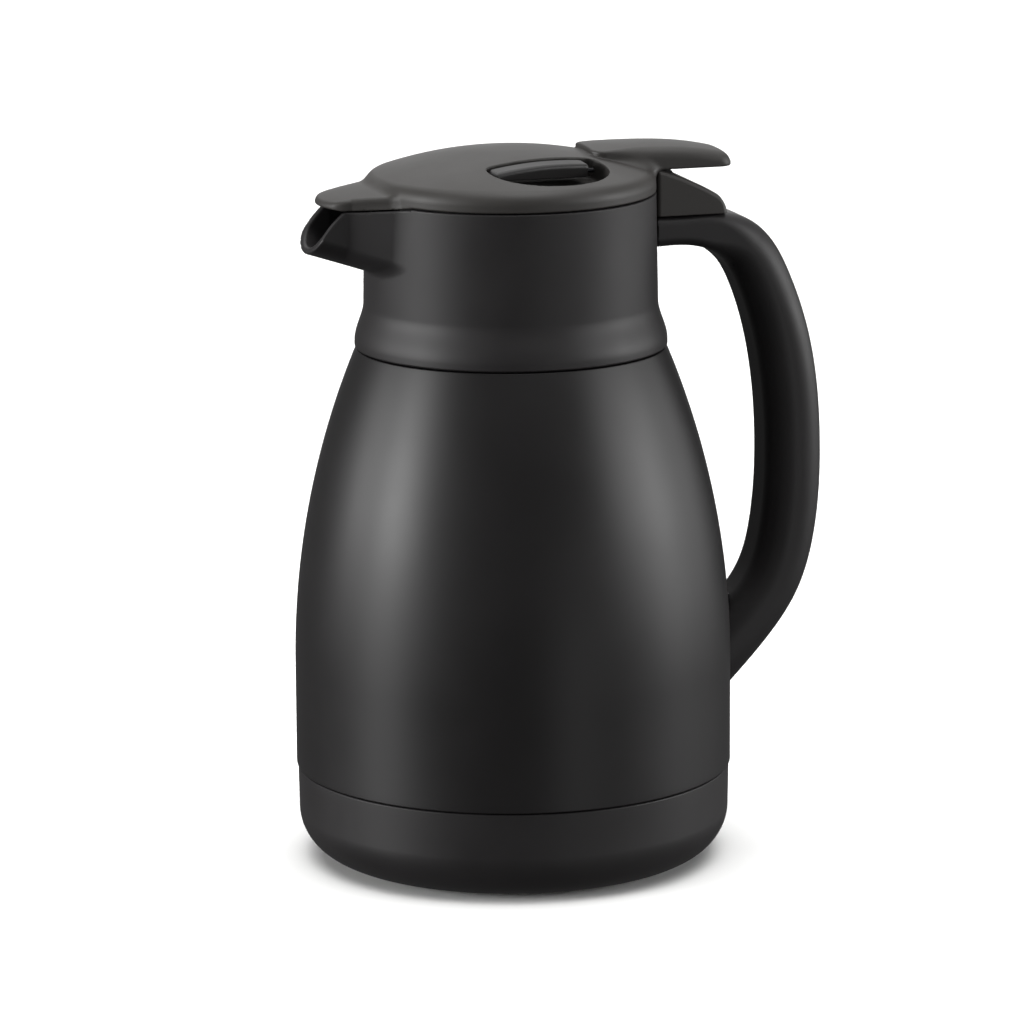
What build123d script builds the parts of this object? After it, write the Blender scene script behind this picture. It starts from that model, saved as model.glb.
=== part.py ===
from build123d import *
from math import atan2, cos, hypot, radians, sin, sqrt
import os

# Insulated table carafe, about 1.5 litres, with a flip lid worked by a thumb lever.
# Millimetres. +Z is up, the origin is the middle of the base on the table,
# the spout points along -X and the handle along +X.

# ------------------------------------------------------------------ body
body_r = 71.1            # painted steel wall, straight part
shoulder_z = 64.5        # height where the wall starts to lean in
base_seam_z = 30.5       # line between base cover and steel wall
collar_seam_z = 168.4    # line between steel wall and collar
collar_seam_r = 50.27    # painted wall at that line
seam_gap = 0.4           # open line between two covers
shell_t = 0.6            # outer steel sheet
flask_t = 0.5            # inner steel sheet
vacuum_gap = 5.5         # between the two sheets
flask_floor_z = 19.6
flask_corner_r = 14.0
neck_r = 40.5            # outside of the steel neck
neck_flask_r = 38.0      # outside of the inner sheet in the neck
neck_top_z = 196.0
neck_foot_z = 178.0      # where the neck meets the shoulder
ledge_r = 47.2           # inner end of the ledge that carries the collar
foil_t = 0.2
foil_gap = 0.3
lean_in = body_r - collar_seam_r
lean_up = collar_seam_z - shoulder_z
taper_r = (lean_in ** 2 + lean_up ** 2) / (2 * lean_in)   # leaning wall, tangent to the straight part

# ------------------------------------------------------------------ base
base_top_step = 0.5      # base cover inside the painted wall, at its top
base_foot_step = 1.0     # and just above its rounded foot
base_top_r = body_r - base_top_step
base_foot_r = body_r - base_foot_step
base_foot_round = 15.5
base_t = 2.4
base_fit = 0.3           # cover to steel skirt
foot_lift = 0.5          # how far the pad stands proud
pad_r = 53.7
pad_t = 2.0
base_rib_r = 50.0
base_rib_t = 2.0
bottom_z = 14.6          # underside of the welded steel bottom
bottom_t = 0.8
bottom_flange = 5.0
seal_r = 5.0
seal_t = 1.2
seal_hole_r = 1.5

# ------------------------------------------------------------------ collar and spout
collar_low_r = 50.6      # straight foot of the collar
collar_flare_z = 171.0
collar_waist_r = 47.6
collar_waist_z = 183.2
collar_top_r = 47.0
lid_seam_z = 218.5
collar_t = 2.4
cavity_r = 44.4
deck_z = 200.0           # upper face of the sealing deck
deck_t = 2.5
mouth_r = 33.0
sleeve_t = 2.1
sleeve_low_z = 181.0
sleeve_fit = 0.4         # thread clearance on the neck
spout_tip_x = 68.6
spout_tip_z = 202.0      # underside of the spout at its tip
spout_rise = 0.331       # slope of the underside
spout_wall = 2.4
spout_belly = 7.5        # height of the round bottom of the spout
# Plan of the spout: distance from the axis, half width at its round bottom, half width at the lid.
spout_plan = (
    (38.0, 22.0, 27.0),
    (43.0, 15.0, 18.6),
    (48.0, 12.4, 13.6),
    (54.0, 12.2, 12.3),
    (61.0, 12.4, 12.5),
    (73.0, 12.2, 12.3),
)
rim_dip_half = 25.0      # the rim dips under the beak over this half width
rim_dip = 2.5
lip_low = (-68.9, 201.5) # side line of the lip, bottom to top
lip_mid = (-64.8, 209.3)
lip_high = (-57.8, 216.8)
channel_root_rise = 0.5  # channel floor above the deck where it starts

# ------------------------------------------------------------------ handle
handle_wall = 2.4
arm_top_z = 209.5
arm_low_z = 199.4
arm_w = 24.8
arm_corner = 3.2
arm_start_x = 46.4
grip_w = 25.6
grip_corner = 8.6
block_end_x = 70.2
liner_half = 8.0
liner_low_z = 96.0
liner_top_z = 176.0
liner_gap = 0.15
lug_half = 8.0
lug_clear = 0.8
lug_end_x = 64.0
lower_screw_z = 72.0
bracket_t = 1.2
bracket_half = 7.0
bracket_h = 20.0
bracket_fit = 0.3
boss_r = 3.6
boss_reach = 8.4         # end of the boss beyond the painted wall
boss_end_x = body_r + boss_reach
shelf_t = 1.8
handle_fit = 0.2         # handle end to painted wall

# ------------------------------------------------------------------ hinge block and pin
block_front_x = 47.9
block_half = 12.4
block_lift = 0.1
block_top_z = 224.4
block_slope_end_x = 68.7
block_slope_end_z = 214.6
block_end_low_x = 70.0
block_round = 1.6
block_bulge = (58.2, 220.4)   # point on the rounded slope
pin_x = 50.5
pin_z = 221.5
pin_r = 1.5
pin_half = 10.0
pin_slot_fit = 0.05
pin_run_fit = 0.05
pin_end_fit = 0.2
knuckle_r = 3.0
knuckle_half = 6.0
knuckle_gap = 0.3
knuckle_pit = 0.6
screw_r = 1.5
screw_head_r = 2.8
screw_head_t = 1.8
arm_screw_xs = (58.0, 63.0)
arm_screw_top_z = 213.0
arm_head_sink = 2.0      # screw heads are let into the arm by this much

# ------------------------------------------------------------------ lid
lid_r = 47.0
lid_gap = 0.2            # lid skirt above the seam line
lid_edge_z = 220.7       # top of the straight skirt
lid_edge_round = 5.1
lid_top_z = 232.8
lid_wall = 2.2
plate_t = 1.2
plate_fit = 0.3
# Plan of the beak: necked behind a rounded nose. Distance from the axis and half width.
beak_plan_line = (
    (39.4, 25.0), (43.0, 18.6), (47.5, 13.5), (52.5, 12.0), (57.0, 13.2), (60.4, 12.4), (63.1, 6.6),
)
beak_tip_x = 64.1
# Crown line of the beak along the middle plane: distance from the axis and height.
beak_crown_line = (
    (34.0, 225.5), (45.0, 223.4), (50.0, 222.4), (55.0, 221.6), (58.5, 220.9), (61.5, 219.9), (64.0, 218.9),
    (67.0, 217.4),
)
beak_crown_r = 60.0      # crown across the beak
beak_lift_x = 57.0       # from here the underside rises towards the tip
beak_lift = 1.9
beak_wall = 1.8
lever_front_x = 25.8
lever_low_z = 225.3
lever_half = 12.4
lever_end_x = 72.0
lever_end_round = 5.0
lever_front_round = 2.5
lever_crown_drop = 1.5   # side edges below the crown
lever_root_depth = 6.0
lever_edge_round = 2.0
lever_screw_xs = (32.0, 39.5)
lever_screw_bite = 1.6

# ------------------------------------------------------------------ plug
plug_r = 35.5
plug_t = 1.8
plug_flange_z = 201.6
nose_r = 30.0
nose_low_z = 194.0
gasket_r = 37.5
gasket_lift = 0.1        # gasket above the deck with the lid shut
foam_gap = 0.2
plug_screw_pcd_r = 24.0
plug_screw_count = 3
plug_screw_start = 90.0  # degrees; keeps the screws clear of the finger recess

# ------------------------------------------------------------------ release tab in the lid
tab_x = 5.9              # middle of the finger recess, on the dome
tab_y = -28.0
tab_turn = 13.0          # degrees that the recess is turned about its own axis
recess_depth = 5.0
trough_depth = 7.6       # deeper part under the rocking tab
tub_wall = 1.5
recess_nose = -21.4      # along the recess: pointed end
recess_tail = 18.4       # along the recess: round end
recess_far = 11.2
recess_near = -14.8
recess_clear = 40.0      # reach of a cutter that clears the recess on every side
tab_gap = 0.9
tab_face = 3.0           # straight face of the tab, across the recess
tab_sink = 0.3           # tab below the lid surface
tab_floor_gap = 0.3
tab_pivot = 5.0          # pivot line, across the recess
tab_pivot_h = -3.1       # its height from the lid's surface
tab_pin_r = 0.8
tab_pin_ends = (-22.3, 18.5)

z_axis = Axis.Z


# ------------------------------------------------------------------ small helpers
def spun(face):
    """Solid of revolution about Z from a face drawn as (radius, height)."""
    return revolve(Plane.XZ * face, z_axis)


def outline(points):
    """Closed face with straight sides."""
    return make_face(Polyline(*points, close=True))


def soften(face, corners):
    """Round chosen corners of a face: (x, y, radius) for the corner nearest to x, y."""
    for x, y, radius in corners:
        corner = min(face.vertices(), key=lambda v: hypot(v.X - x, v.Y - y))
        face = fillet(corner, radius)
    return face


def tube(outer, inner, low, high):
    """Plain ring about Z."""
    return spun(outline([(inner, low), (outer, low), (outer, high), (inner, high)]))


def rod(radius, low, high, x=0.0, y=0.0):
    """Upright cylinder from low to high."""
    return Pos(x, y, low) * extrude(Circle(radius), high - low)


def slab(x0, x1, y0, y1, z0, z1):
    """Box between six planes."""
    size = (x1 - x0, y1 - y0, z1 - z0)
    return Pos((x0 + x1) / 2, (y0 + y1) / 2, (z0 + z1) / 2) * Box(*size)


def cross_rod(radius, half, x, z):
    """Cylinder along Y, centred on the middle plane."""
    return Pos(x, 0, z) * (Rot(90, 0, 0) * Cylinder(radius, 2 * half))


def side_cut(face, half):
    """Face drawn as (x, height), given thickness along Y, centred on the middle plane."""
    return extrude(Plane.XZ * face, half, both=True)


# ------------------------------------------------------------------ body
def wall_r(z, inset=0.0):
    """Radius of the body wall at a height, moved inwards by inset."""
    if z <= shoulder_z:
        return body_r - inset
    return body_r - taper_r + sqrt((taper_r - inset) ** 2 - (z - shoulder_z) ** 2)


def body_core(inset, low_z, top_z, neck, ledge_z, inner_ledge, foot_z):
    """Solid inside the body wall: straight part, leaning part, ledge, shoulder and neck."""
    mid_z = (shoulder_z + ledge_z) / 2
    seam_r = wall_r(ledge_z, inset)
    lines = Polyline((0, low_z), (wall_r(low_z, inset), low_z), (wall_r(low_z, inset), shoulder_z))
    lines += ThreePointArc((body_r - inset, shoulder_z), (wall_r(mid_z, inset), mid_z), (seam_r, ledge_z))
    lines += Polyline((seam_r, ledge_z), (inner_ledge, ledge_z), (neck, foot_z), (neck, top_z),
                      (0, top_z), (0, low_z))
    return make_face(lines)


skirt_r = base_foot_r - base_t - base_fit


def make_outer_shell():
    step_z = base_seam_z + seam_gap / 2
    outer = spun(body_core(0, step_z, neck_top_z, neck_r, collar_seam_z, ledge_r, neck_foot_z))
    inner = spun(body_core(shell_t, step_z - 1, neck_top_z + 1, neck_r - shell_t,
                           collar_seam_z - shell_t, ledge_r - shell_t / 2, neck_foot_z - shell_t))
    wall = outer - inner
    joggle = tube(body_r - shell_t / 2, skirt_r - shell_t, step_z, step_z + shell_t)
    skirt = tube(skirt_r, skirt_r - shell_t, bottom_z - shell_t, step_z + shell_t)
    return wall + joggle + skirt


def flask_core(inset):
    """Solid inside the inner sheet."""
    gap = vacuum_gap + inset
    face = body_core(gap, flask_floor_z + inset, neck_top_z, neck_flask_r - inset,
                     collar_seam_z - gap, ledge_r - gap * 0.6, neck_foot_z - gap)
    return spun(soften(face, [(body_r - gap, flask_floor_z + inset, flask_corner_r - inset)]))


def make_inner_flask():
    neck_bore = rod(neck_flask_r - flask_t, neck_foot_z, neck_top_z + 1)
    rim = tube(neck_r - shell_t, neck_flask_r - flask_t, neck_top_z - 0.8, neck_top_z)
    return flask_core(0) - flask_core(flask_t) - neck_bore + rim


def make_radiation_foil():
    inner = body_r - vacuum_gap + foil_gap
    return tube(inner + foil_t, inner, flask_floor_z + flask_corner_r, shoulder_z)


def make_outer_bottom():
    rim_r = skirt_r - shell_t
    disc = rod(rim_r, bottom_z, bottom_z + bottom_t)
    flange = tube(rim_r, rim_r - bottom_t, bottom_z, bottom_z + bottom_flange)
    return disc + flange - rod(seal_hole_r, bottom_z - 1, bottom_z + bottom_t + 1)


def make_vacuum_seal():
    cap = rod(seal_r, bottom_z - seal_t, bottom_z)
    return fillet(cap.edges().group_by(z_axis)[0], seal_t * 0.5) + rod(seal_hole_r, bottom_z - 0.1,
                                                                     bottom_z + bottom_t)


# ------------------------------------------------------------------ base
def base_core(inset, floor_z, top_z):
    """Solid inside the base cover's outer surface, moved inwards by inset."""
    face = outline([(0, floor_z), (base_foot_r - inset, floor_z), (base_top_r - inset, top_z), (0, top_z)])
    return spun(soften(face, [(base_foot_r - inset, floor_z, base_foot_round - inset)]))


def make_base_cover():
    top_z = base_seam_z - seam_gap / 2
    inner_z = foot_lift + pad_t
    cover = base_core(0, foot_lift, top_z) - base_core(base_t, foot_lift + base_t, top_z + 1)
    floor = rod(pad_r + base_t, foot_lift + 0.2, inner_z + 1.2)
    rib = tube(base_rib_r, base_rib_r - base_rib_t, inner_z, bottom_z)
    pad_seat = rod(pad_r + base_fit / 2, -1, pad_t)
    return cover + floor + rib - pad_seat


def make_base_pad():
    return rod(pad_r, 0, pad_t)


# ------------------------------------------------------------------ collar and spout
def collar_profile():
    """Outer line of the collar: straight foot, S-shaped flare, long slightly tapered wall."""
    low_z = collar_seam_z + seam_gap
    top_z = lid_seam_z - lid_gap
    mid = ((collar_low_r + collar_waist_r) / 2 - 0.15, collar_flare_z + 5.6)
    lines = Polyline((0, low_z), (collar_low_r, low_z), (collar_low_r, collar_flare_z))
    lines += Spline((collar_low_r, collar_flare_z), mid, (collar_waist_r, collar_waist_z),
                    tangents=[(0, 1), (-0.05, 1)])
    lines += Polyline((collar_waist_r, collar_waist_z), (collar_top_r, top_z), (0, top_z), (0, low_z))
    return make_face(lines)


def spout_section(x, low, top, floor_z, top_z):
    """Open-topped U across the spout, its bottom half an ellipse."""
    belly_z = floor_z + spout_belly
    lines = EllipticalCenterArc((0, belly_z), low, spout_belly, 180, arc_size=180)
    lines += Polyline((low, belly_z), (top, top_z), (-top, top_z), (-low, belly_z))
    plane = Plane(origin=(-x, 0, 0), x_dir=(0, 1, 0), z_dir=(1, 0, 0))
    return plane * make_face(lines)


def spout_floor(x):
    """Height of the spout's underside at a distance x from the axis."""
    return spout_tip_z - spout_rise * (spout_tip_x - x)


def make_spout_block():
    top_z = lid_seam_z - lid_gap
    return loft([spout_section(x, low, top, spout_floor(x), top_z) for x, low, top in spout_plan])


def make_spout_channel():
    """Inside of the spout, from the cavity to beyond the lip."""
    top_z = lid_seam_z + 0.5
    sections = []
    for x, low, top in spout_plan:
        floor_z = max(deck_z + channel_root_rise, spout_floor(x) + spout_wall)
        sections.append(spout_section(x, low - spout_wall, top - spout_wall, floor_z, top_z))
    return loft(sections)


def lip_cutter():
    """Everything in front of the curved, leaning lip of the spout."""
    far_x, low_z, high_z = -120, lip_low[1] - 20, lip_high[1] + 20
    lines = ThreePointArc(lip_low, lip_mid, lip_high)
    lines += Polyline(lip_high, (lip_high[0], high_z), (far_x, high_z), (far_x, low_z), (lip_low[0], low_z),
                      lip_low)
    return side_cut(make_face(lines), 60)


def above_rim(shift):
    """Space above the dipped rim of the spout; the rim is moved up by shift."""
    edge_z = lid_seam_z + shift
    far_y, high_z = rim_dip_half, lid_seam_z + 40
    lines = ThreePointArc((-far_y, edge_z), (0, edge_z - rim_dip), (far_y, edge_z))
    lines += Polyline((far_y, edge_z), (far_y, high_z), (-far_y, high_z), (-far_y, edge_z))
    plane = Plane(origin=(-120, 0, 0), x_dir=(0, 1, 0), z_dir=(1, 0, 0))
    return extrude(plane * make_face(lines), 84)


def make_shoulder_collar():
    outer = spun(collar_profile())
    deck_low_z = deck_z - deck_t
    wall_in = collar_waist_r - collar_t
    foot_in = collar_low_r - collar_t
    low_z = collar_seam_z + seam_gap
    hollow = spun(outline([
        (0, low_z - 1), (foot_in, low_z - 1), (foot_in, collar_flare_z), (wall_in, collar_waist_z),
        (wall_in - 0.2, deck_low_z), (0, deck_low_z),
    ]))
    sleeve_in = neck_r + sleeve_fit
    sleeve = tube(sleeve_in + sleeve_t, sleeve_in, sleeve_low_z, deck_low_z + 0.1)
    lug = slab(cavity_r + 1.0, lug_end_x, -lug_half, lug_half, arm_low_z + handle_wall + lug_clear,
               arm_top_z - handle_wall - lug_clear)
    collar = outer + make_spout_block() - lip_cutter() - above_rim(-lid_gap)
    collar = collar - hollow - rod(cavity_r, deck_z, lid_seam_z + 1)
    collar = collar - rod(mouth_r, deck_low_z - 1, deck_z + 1)
    collar = collar - make_spout_channel() + sleeve + lug
    for x in arm_screw_xs:
        collar = collar - rod(screw_r + 0.1, arm_low_z, arm_top_z, x)
    return collar


def make_neck_seal():
    return tube(neck_r - 0.1, neck_flask_r - 0.2, neck_top_z, deck_z - deck_t)


# ------------------------------------------------------------------ handle
# Middle line of the handle from the collar round to the body: x, z and thickness there.
handle_stations = [
    (arm_start_x, 204.45, 10.1),
    (58.0, 204.4, 10.2),
    (67.0, 203.3, 13.0),
    (77.2, 197.8, 16.4),
    (84.6, 185.8, 17.6),
    (body_r + 19.8, 166.0, 18.6),
    (body_r + 23.5, 132.0, 19.0),
    (body_r + 21.8, 103.2, 19.0),
    (body_r + 16.7, 85.5, 18.8),
    (body_r + 7.4, 72.3, 19.2),
    (body_r - 5.5, 59.0, 20.0),
]


def handle_line():
    """Smooth line through the stations, level at the collar."""
    points = [(x, 0, z) for x, z, thick in handle_stations]
    return Spline(*points, tangents=[(1, 0, 0), (-0.7, 0, -0.71)])


def grip_section(line, station, inset):
    """Rounded section square to the handle's middle line."""
    x, z, thick = station
    along = line.tangent_at(line.param_at_point(Vector(x, 0, z)))
    in_arm = x < block_end_x and z > lid_seam_z - 20
    wide, corner = (arm_w, arm_corner) if in_arm else (grip_w, grip_corner)
    corner = min(corner, thick / 2 - 0.1) - inset
    plane = Plane(origin=(x, 0, z), x_dir=(0, 1, 0), z_dir=along)
    return plane * RectangleRounded(wide - 2 * inset, thick - 2 * inset, max(corner, 0.6))


def handle_core(inset):
    """Lofted solid along the handle, moved inwards by inset."""
    line = handle_line()
    return loft([grip_section(line, s, inset) for s in handle_stations])


def liner_region(half):
    """Inner half of the grip, over the stretch that the liner covers."""
    picked = [(s[0], s[1]) for s in handle_stations if liner_low_z - 8 < s[1] < liner_top_z + 6]
    low = (picked[-1][0], liner_low_z)
    high = (picked[0][0], liner_top_z)
    inner = [p for p in picked if liner_low_z < p[1] < liner_top_z]
    ring = [(60, liner_top_z), high] + inner + [low, (60, liner_low_z)]
    return side_cut(outline(ring), half)


def body_keepout(gap):
    """Space that the body wall and the collar take, grown by a gap."""
    return spun(body_core(-gap, base_seam_z, collar_seam_z, neck_r, collar_seam_z, ledge_r, neck_foot_z))


def x_rod(radius, x0, x1, z):
    """Cylinder along X on the middle plane, from x0 to x1."""
    return Pos((x0 + x1) / 2, 0, z) * (Rot(0, 90, 0) * Cylinder(radius, x1 - x0))


def bracket_space(grow):
    """Room for the strap on the body and its boss, grown by a clearance."""
    low_z = lower_screw_z - bracket_h / 2 - grow
    high_z = lower_screw_z + bracket_h / 2 + grow
    strap = tube(body_r + 0.4 + bracket_t + grow, body_r - 6, low_z, high_z)
    strap = strap & slab(0, 90, -bracket_half - grow, bracket_half + grow, low_z, high_z)
    return strap + x_rod(boss_r + grow, body_r - 2, boss_end_x, lower_screw_z)


def make_handle_walls():
    walls = handle_core(0)
    inner = handle_core(handle_wall)
    block_seat = slab(arm_start_x - 5, block_end_x, -20, 20, arm_top_z, arm_top_z + 20)
    walls = walls - inner - block_seat - body_keepout(handle_fit)
    arm_roof = slab(arm_start_x + 1.5, block_end_x - 1, -arm_w / 2 + 1.5, arm_w / 2 - 1.5,
                    arm_top_z - handle_wall, arm_top_z)
    walls = walls + arm_roof - rod(collar_top_r + 0.6, arm_low_z - 8, arm_top_z + 5)
    for x in arm_screw_xs:
        walls = walls - rod(screw_r + 0.1, arm_low_z - 8, arm_top_z + 1, x)
        walls = walls - rod(screw_head_r + 0.2, arm_low_z - 8, arm_low_z + arm_head_sink, x)
    shelf = x_rod(screw_head_r + 2.0, boss_end_x, boss_end_x + shelf_t, lower_screw_z)
    hole = x_rod(screw_r + 0.1, boss_end_x - 20, boss_end_x + 20, lower_screw_z)
    head_way = x_rod(screw_head_r + 0.2, boss_end_x + shelf_t, boss_end_x + 25, lower_screw_z)
    return walls + shelf - hole - head_way - bracket_space(bracket_fit)


def make_handle_shell():
    walls = make_handle_walls()
    return keep_largest(walls - liner_region(liner_half + liner_gap))


def make_handle_liner():
    walls = make_handle_walls()
    return keep_largest(walls & liner_region(liner_half))


def keep_largest(shape):
    """The main solid, without the crumbs that a cut leaves."""
    return max(shape.solids(), key=lambda s: s.volume)


def make_handle_bracket():
    """Steel strap welded to the body, with a threaded boss for the handle's screw."""
    wall = spun(body_core(0, base_seam_z, collar_seam_z, neck_r, collar_seam_z, ledge_r, neck_foot_z))
    return bracket_space(0) - wall - x_rod(screw_r, boss_end_x - 5, boss_end_x + 1, lower_screw_z)


def make_handle_screw():
    seat_x = boss_end_x + shelf_t
    shank = x_rod(screw_r, boss_end_x - 4.8, seat_x + 0.1, lower_screw_z)
    return shank + x_rod(screw_head_r, seat_x, seat_x + screw_head_t, lower_screw_z)


# ------------------------------------------------------------------ hinge block
def make_hinge_block():
    low_z = arm_top_z + block_lift
    front_top = (block_front_x, block_top_z)
    slope_end = (block_slope_end_x, block_slope_end_z)
    lines = Polyline(front_top, (block_front_x, low_z), (block_end_low_x, low_z), slope_end)
    face = make_face(lines + ThreePointArc(slope_end, block_bulge, front_top))
    corners = [(block_slope_end_x, block_slope_end_z, 2.0), (block_front_x, block_top_z, block_round)]
    face = soften(face, corners)
    block = side_cut(face, block_half)
    sides = [e for e in block.edges() if abs(abs(e.center().Y) - block_half) < 0.01
             and e.center().Z > low_z + 0.5]
    block = fillet(sides, 0.9)
    pit_z = pin_z - knuckle_r - knuckle_pit
    slot = slab(block_front_x - 5, pin_x + knuckle_r + knuckle_pit, -knuckle_half - knuckle_gap,
                knuckle_half + knuckle_gap, pit_z, block_top_z + 5)
    seat_r = pin_r + pin_slot_fit
    seat_half = pin_half + pin_end_fit
    seat = cross_rod(seat_r, seat_half, pin_x, pin_z)
    way_in = slab(pin_x - seat_r, pin_x + seat_r, -seat_half, seat_half, pin_z, block_top_z + 5)
    block = block - slot - seat - way_in
    for x in arm_screw_xs:
        block = block - rod(screw_r, low_z - 1, arm_screw_top_z, x)
    return block


def make_arm_screws():
    """Two screws that clamp arm, collar lug and hinge block together from below."""
    screws = []
    for x in arm_screw_xs:
        seat_z = arm_low_z + arm_head_sink
        head = rod(screw_head_r, seat_z - screw_head_t, seat_z, x)
        screws.append(head + rod(screw_r, arm_low_z, arm_screw_top_z, x))
    return Compound(children=screws)


def make_hinge_pin():
    return cross_rod(pin_r, pin_half, pin_x, pin_z)


# ------------------------------------------------------------------ lid
dome_drop = lid_edge_z - lid_top_z
dome_r = (lid_edge_round ** 2 - (lid_r - lid_edge_round) ** 2 - dome_drop ** 2) / (
    2 * dome_drop + 2 * lid_edge_round)
dome_centre_z = lid_top_z - dome_r
lid_low_z = lid_seam_z + lid_gap


def lid_profile(inset, low_z):
    """Half section of the lid's dome and skirt, moved inwards by inset."""
    round_r = lid_edge_round - inset
    reach = lid_r - lid_edge_round
    lean = atan2(lid_edge_z - dome_centre_z, reach)
    meet = (reach + round_r * cos(lean), lid_edge_z + round_r * sin(lean))
    mid = (reach + round_r * cos(lean / 2), lid_edge_z + round_r * sin(lean / 2))
    big_r = dome_r - inset
    up = (lean + radians(90)) / 2
    dome_mid = (big_r * cos(up), dome_centre_z + big_r * sin(up))
    top = (0, dome_centre_z + big_r)
    side = lid_r - inset
    lines = Polyline((0, low_z), (side, low_z), (side, lid_edge_z))
    lines += ThreePointArc((side, lid_edge_z), mid, meet)
    lines += ThreePointArc(meet, dome_mid, top) + Line(top, (0, low_z))
    return make_face(lines)


def lid_roof_z(x):
    """Height of the hollow lid's roof at a distance x from the axis."""
    return dome_centre_z + sqrt((dome_r - lid_wall) ** 2 - x ** 2)


def beak_plan(inset):
    """Outline of the beak from above, moved inwards by inset; its root lies inside the lid."""
    side = []
    for x, y in beak_plan_line:
        blunt = min(max((x - beak_lift_x) / (beak_tip_x - beak_lift_x), 0), 1)
        side.append((-x + inset * blunt, -y + inset * (1 - 0.4 * blunt)))
    points = side + [(-beak_tip_x + inset, 0)] + [(x, -y) for x, y in reversed(side)]
    root_x = -beak_plan_line[0][0] + 9
    outer_y = points[-1][1]
    root = Polyline(points[-1], (root_x, outer_y), (root_x, -outer_y), points[0])
    return make_face(Spline(*points) + root)


def beak_slice(x, top_z, inset):
    """Slice across the space under the beak's crown."""
    half, low_z = 30, lid_seam_z - 20
    edge_z = top_z - (beak_crown_r - sqrt(beak_crown_r ** 2 - half ** 2))
    lines = ThreePointArc((half, edge_z - inset), (0, top_z - inset), (-half, edge_z - inset))
    lines += Polyline((-half, edge_z - inset), (-half, low_z), (half, low_z), (half, edge_z - inset))
    return Plane(origin=(-x, 0, 0), x_dir=(0, 1, 0), z_dir=(1, 0, 0)) * make_face(lines)


def beak_core(inset):
    """Solid inside the beak: its outline under the crown and above the dipped rim."""
    prism = Pos(0, 0, lid_seam_z - 10) * extrude(beak_plan(inset), 30)
    crown = loft([beak_slice(x, z, inset) for x, z in beak_crown_line])
    tip_low_z = lid_low_z - rim_dip + inset
    lift = side_cut(outline([(-beak_lift_x, tip_low_z), (-beak_tip_x, tip_low_z + beak_lift),
                             (-beak_tip_x - 5, tip_low_z + beak_lift), (-beak_tip_x - 5, tip_low_z - 5),
                             (-beak_lift_x, tip_low_z - 5)]), 40)
    return (prism & crown & above_rim(lid_gap + inset)) - lift


def recess_frame():
    """Plane on the dome: its X runs along the recess, its Z is square to the dome."""
    z = dome_centre_z + sqrt(dome_r ** 2 - tab_x ** 2 - tab_y ** 2)
    normal = Vector(tab_x, tab_y, z - dome_centre_z).normalized()
    flat_x = (Vector(1, 0, 0) - normal * normal.X).normalized()
    plane = Plane(origin=(tab_x, tab_y, z), x_dir=flat_x, z_dir=normal)
    return plane.rotated((0, 0, tab_turn))


def recess_plan(grow):
    """Eye-shaped outline: pointed at one end, round at the other."""
    nose = (recess_nose - grow, 4.2)
    tail_r = 4.5 + grow
    far = (-4.0, recess_far + grow)
    near = (-1.5, recess_near - grow)
    tail_far = (recess_tail - 3.0 + grow * 0.8, 6.3 + grow * 0.5)
    tail = (recess_tail + grow, -1.8)
    tail_near = (recess_tail - 3.6 + grow * 0.7, -10.6 - grow * 0.7)
    lines = ThreePointArc(nose, far, tail_far) + ThreePointArc(tail_far, tail, tail_near)
    lines += ThreePointArc(tail_near, near, nose)
    return make_face(lines)


def far_side(start):
    """Space across the recess beyond a line, in the recess's own frame."""
    return Pos(0, start + recess_clear / 2, 0) * Box(2 * recess_clear, recess_clear, 2 * recess_clear)


def recess_cut():
    """Finger recess, with a deeper trough under the tab's pivot."""
    frame = recess_frame()
    plan = recess_plan(0)
    shallow = extrude(plan, recess_depth + 8)
    trough = extrude(plan, trough_depth + 8) & far_side(tab_face + 0.8)
    return frame * (Pos(0, 0, -recess_depth) * shallow) + frame * (Pos(0, 0, -trough_depth) * trough)


def tub_block():
    """Material that stays round the recess when the lid is hollowed."""
    frame = recess_frame()
    plan = recess_plan(tub_wall)
    shallow = extrude(plan, recess_depth + tub_wall + 8)
    trough = extrude(plan, trough_depth + tub_wall + 8) & far_side(tab_face + 0.8 - tub_wall)
    low = frame * (Pos(0, 0, -recess_depth - tub_wall) * shallow)
    return low + frame * (Pos(0, 0, -trough_depth - tub_wall) * trough)


def tab_rod(radius):
    """Cylinder on the tab's pivot line, as long as its pin."""
    low, high = tab_pin_ends
    turned = Rot(0, 90, 0) * Cylinder(radius, high - low)
    return recess_frame() * (Pos((low + high) / 2, tab_pivot, tab_pivot_h) * turned)


def make_lid_cover():
    outer = spun(lid_profile(0, lid_low_z)) + beak_core(0)
    hollow = spun(lid_profile(lid_wall, lid_low_z - 1)) + beak_core(beak_wall)
    knuckle = cross_rod(knuckle_r, knuckle_half, pin_x, pin_z)
    bridge = slab(lid_r - 1.4, pin_x, -knuckle_half, knuckle_half, lid_low_z + 0.2, pin_z + 2.6)
    cover = outer - (hollow - tub_block()) - recess_cut() + knuckle + bridge
    for x in lever_screw_xs:
        seat_z = lid_roof_z(x + screw_head_r) - 0.1
        cover = cover + rod(screw_head_r + 1, seat_z, lid_roof_z(x - screw_head_r) + 0.4, x)
        cover = cover - rod(screw_r + 0.1, seat_z - 1, lid_top_z, x)
    cover = cover - cross_rod(pin_r + pin_run_fit, 15, pin_x, pin_z)
    return keep_largest(cover - tab_rod(tab_pin_r))


def make_lid_plate():
    plate_r = lid_r - lid_wall - plate_fit
    plate = rod(plate_r, lid_low_z, lid_low_z + plate_t)
    return plate - spots_on_plug(screw_r + 0.1, lid_low_z - 1, lid_low_z + plate_t + 1)


def spots_on_plug(radius, low, high):
    """Upright cylinders where the plug's screws are."""
    spots = [rod(radius, low, high, *spot) for spot in plug_spots()]
    return Compound(children=spots)


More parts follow.
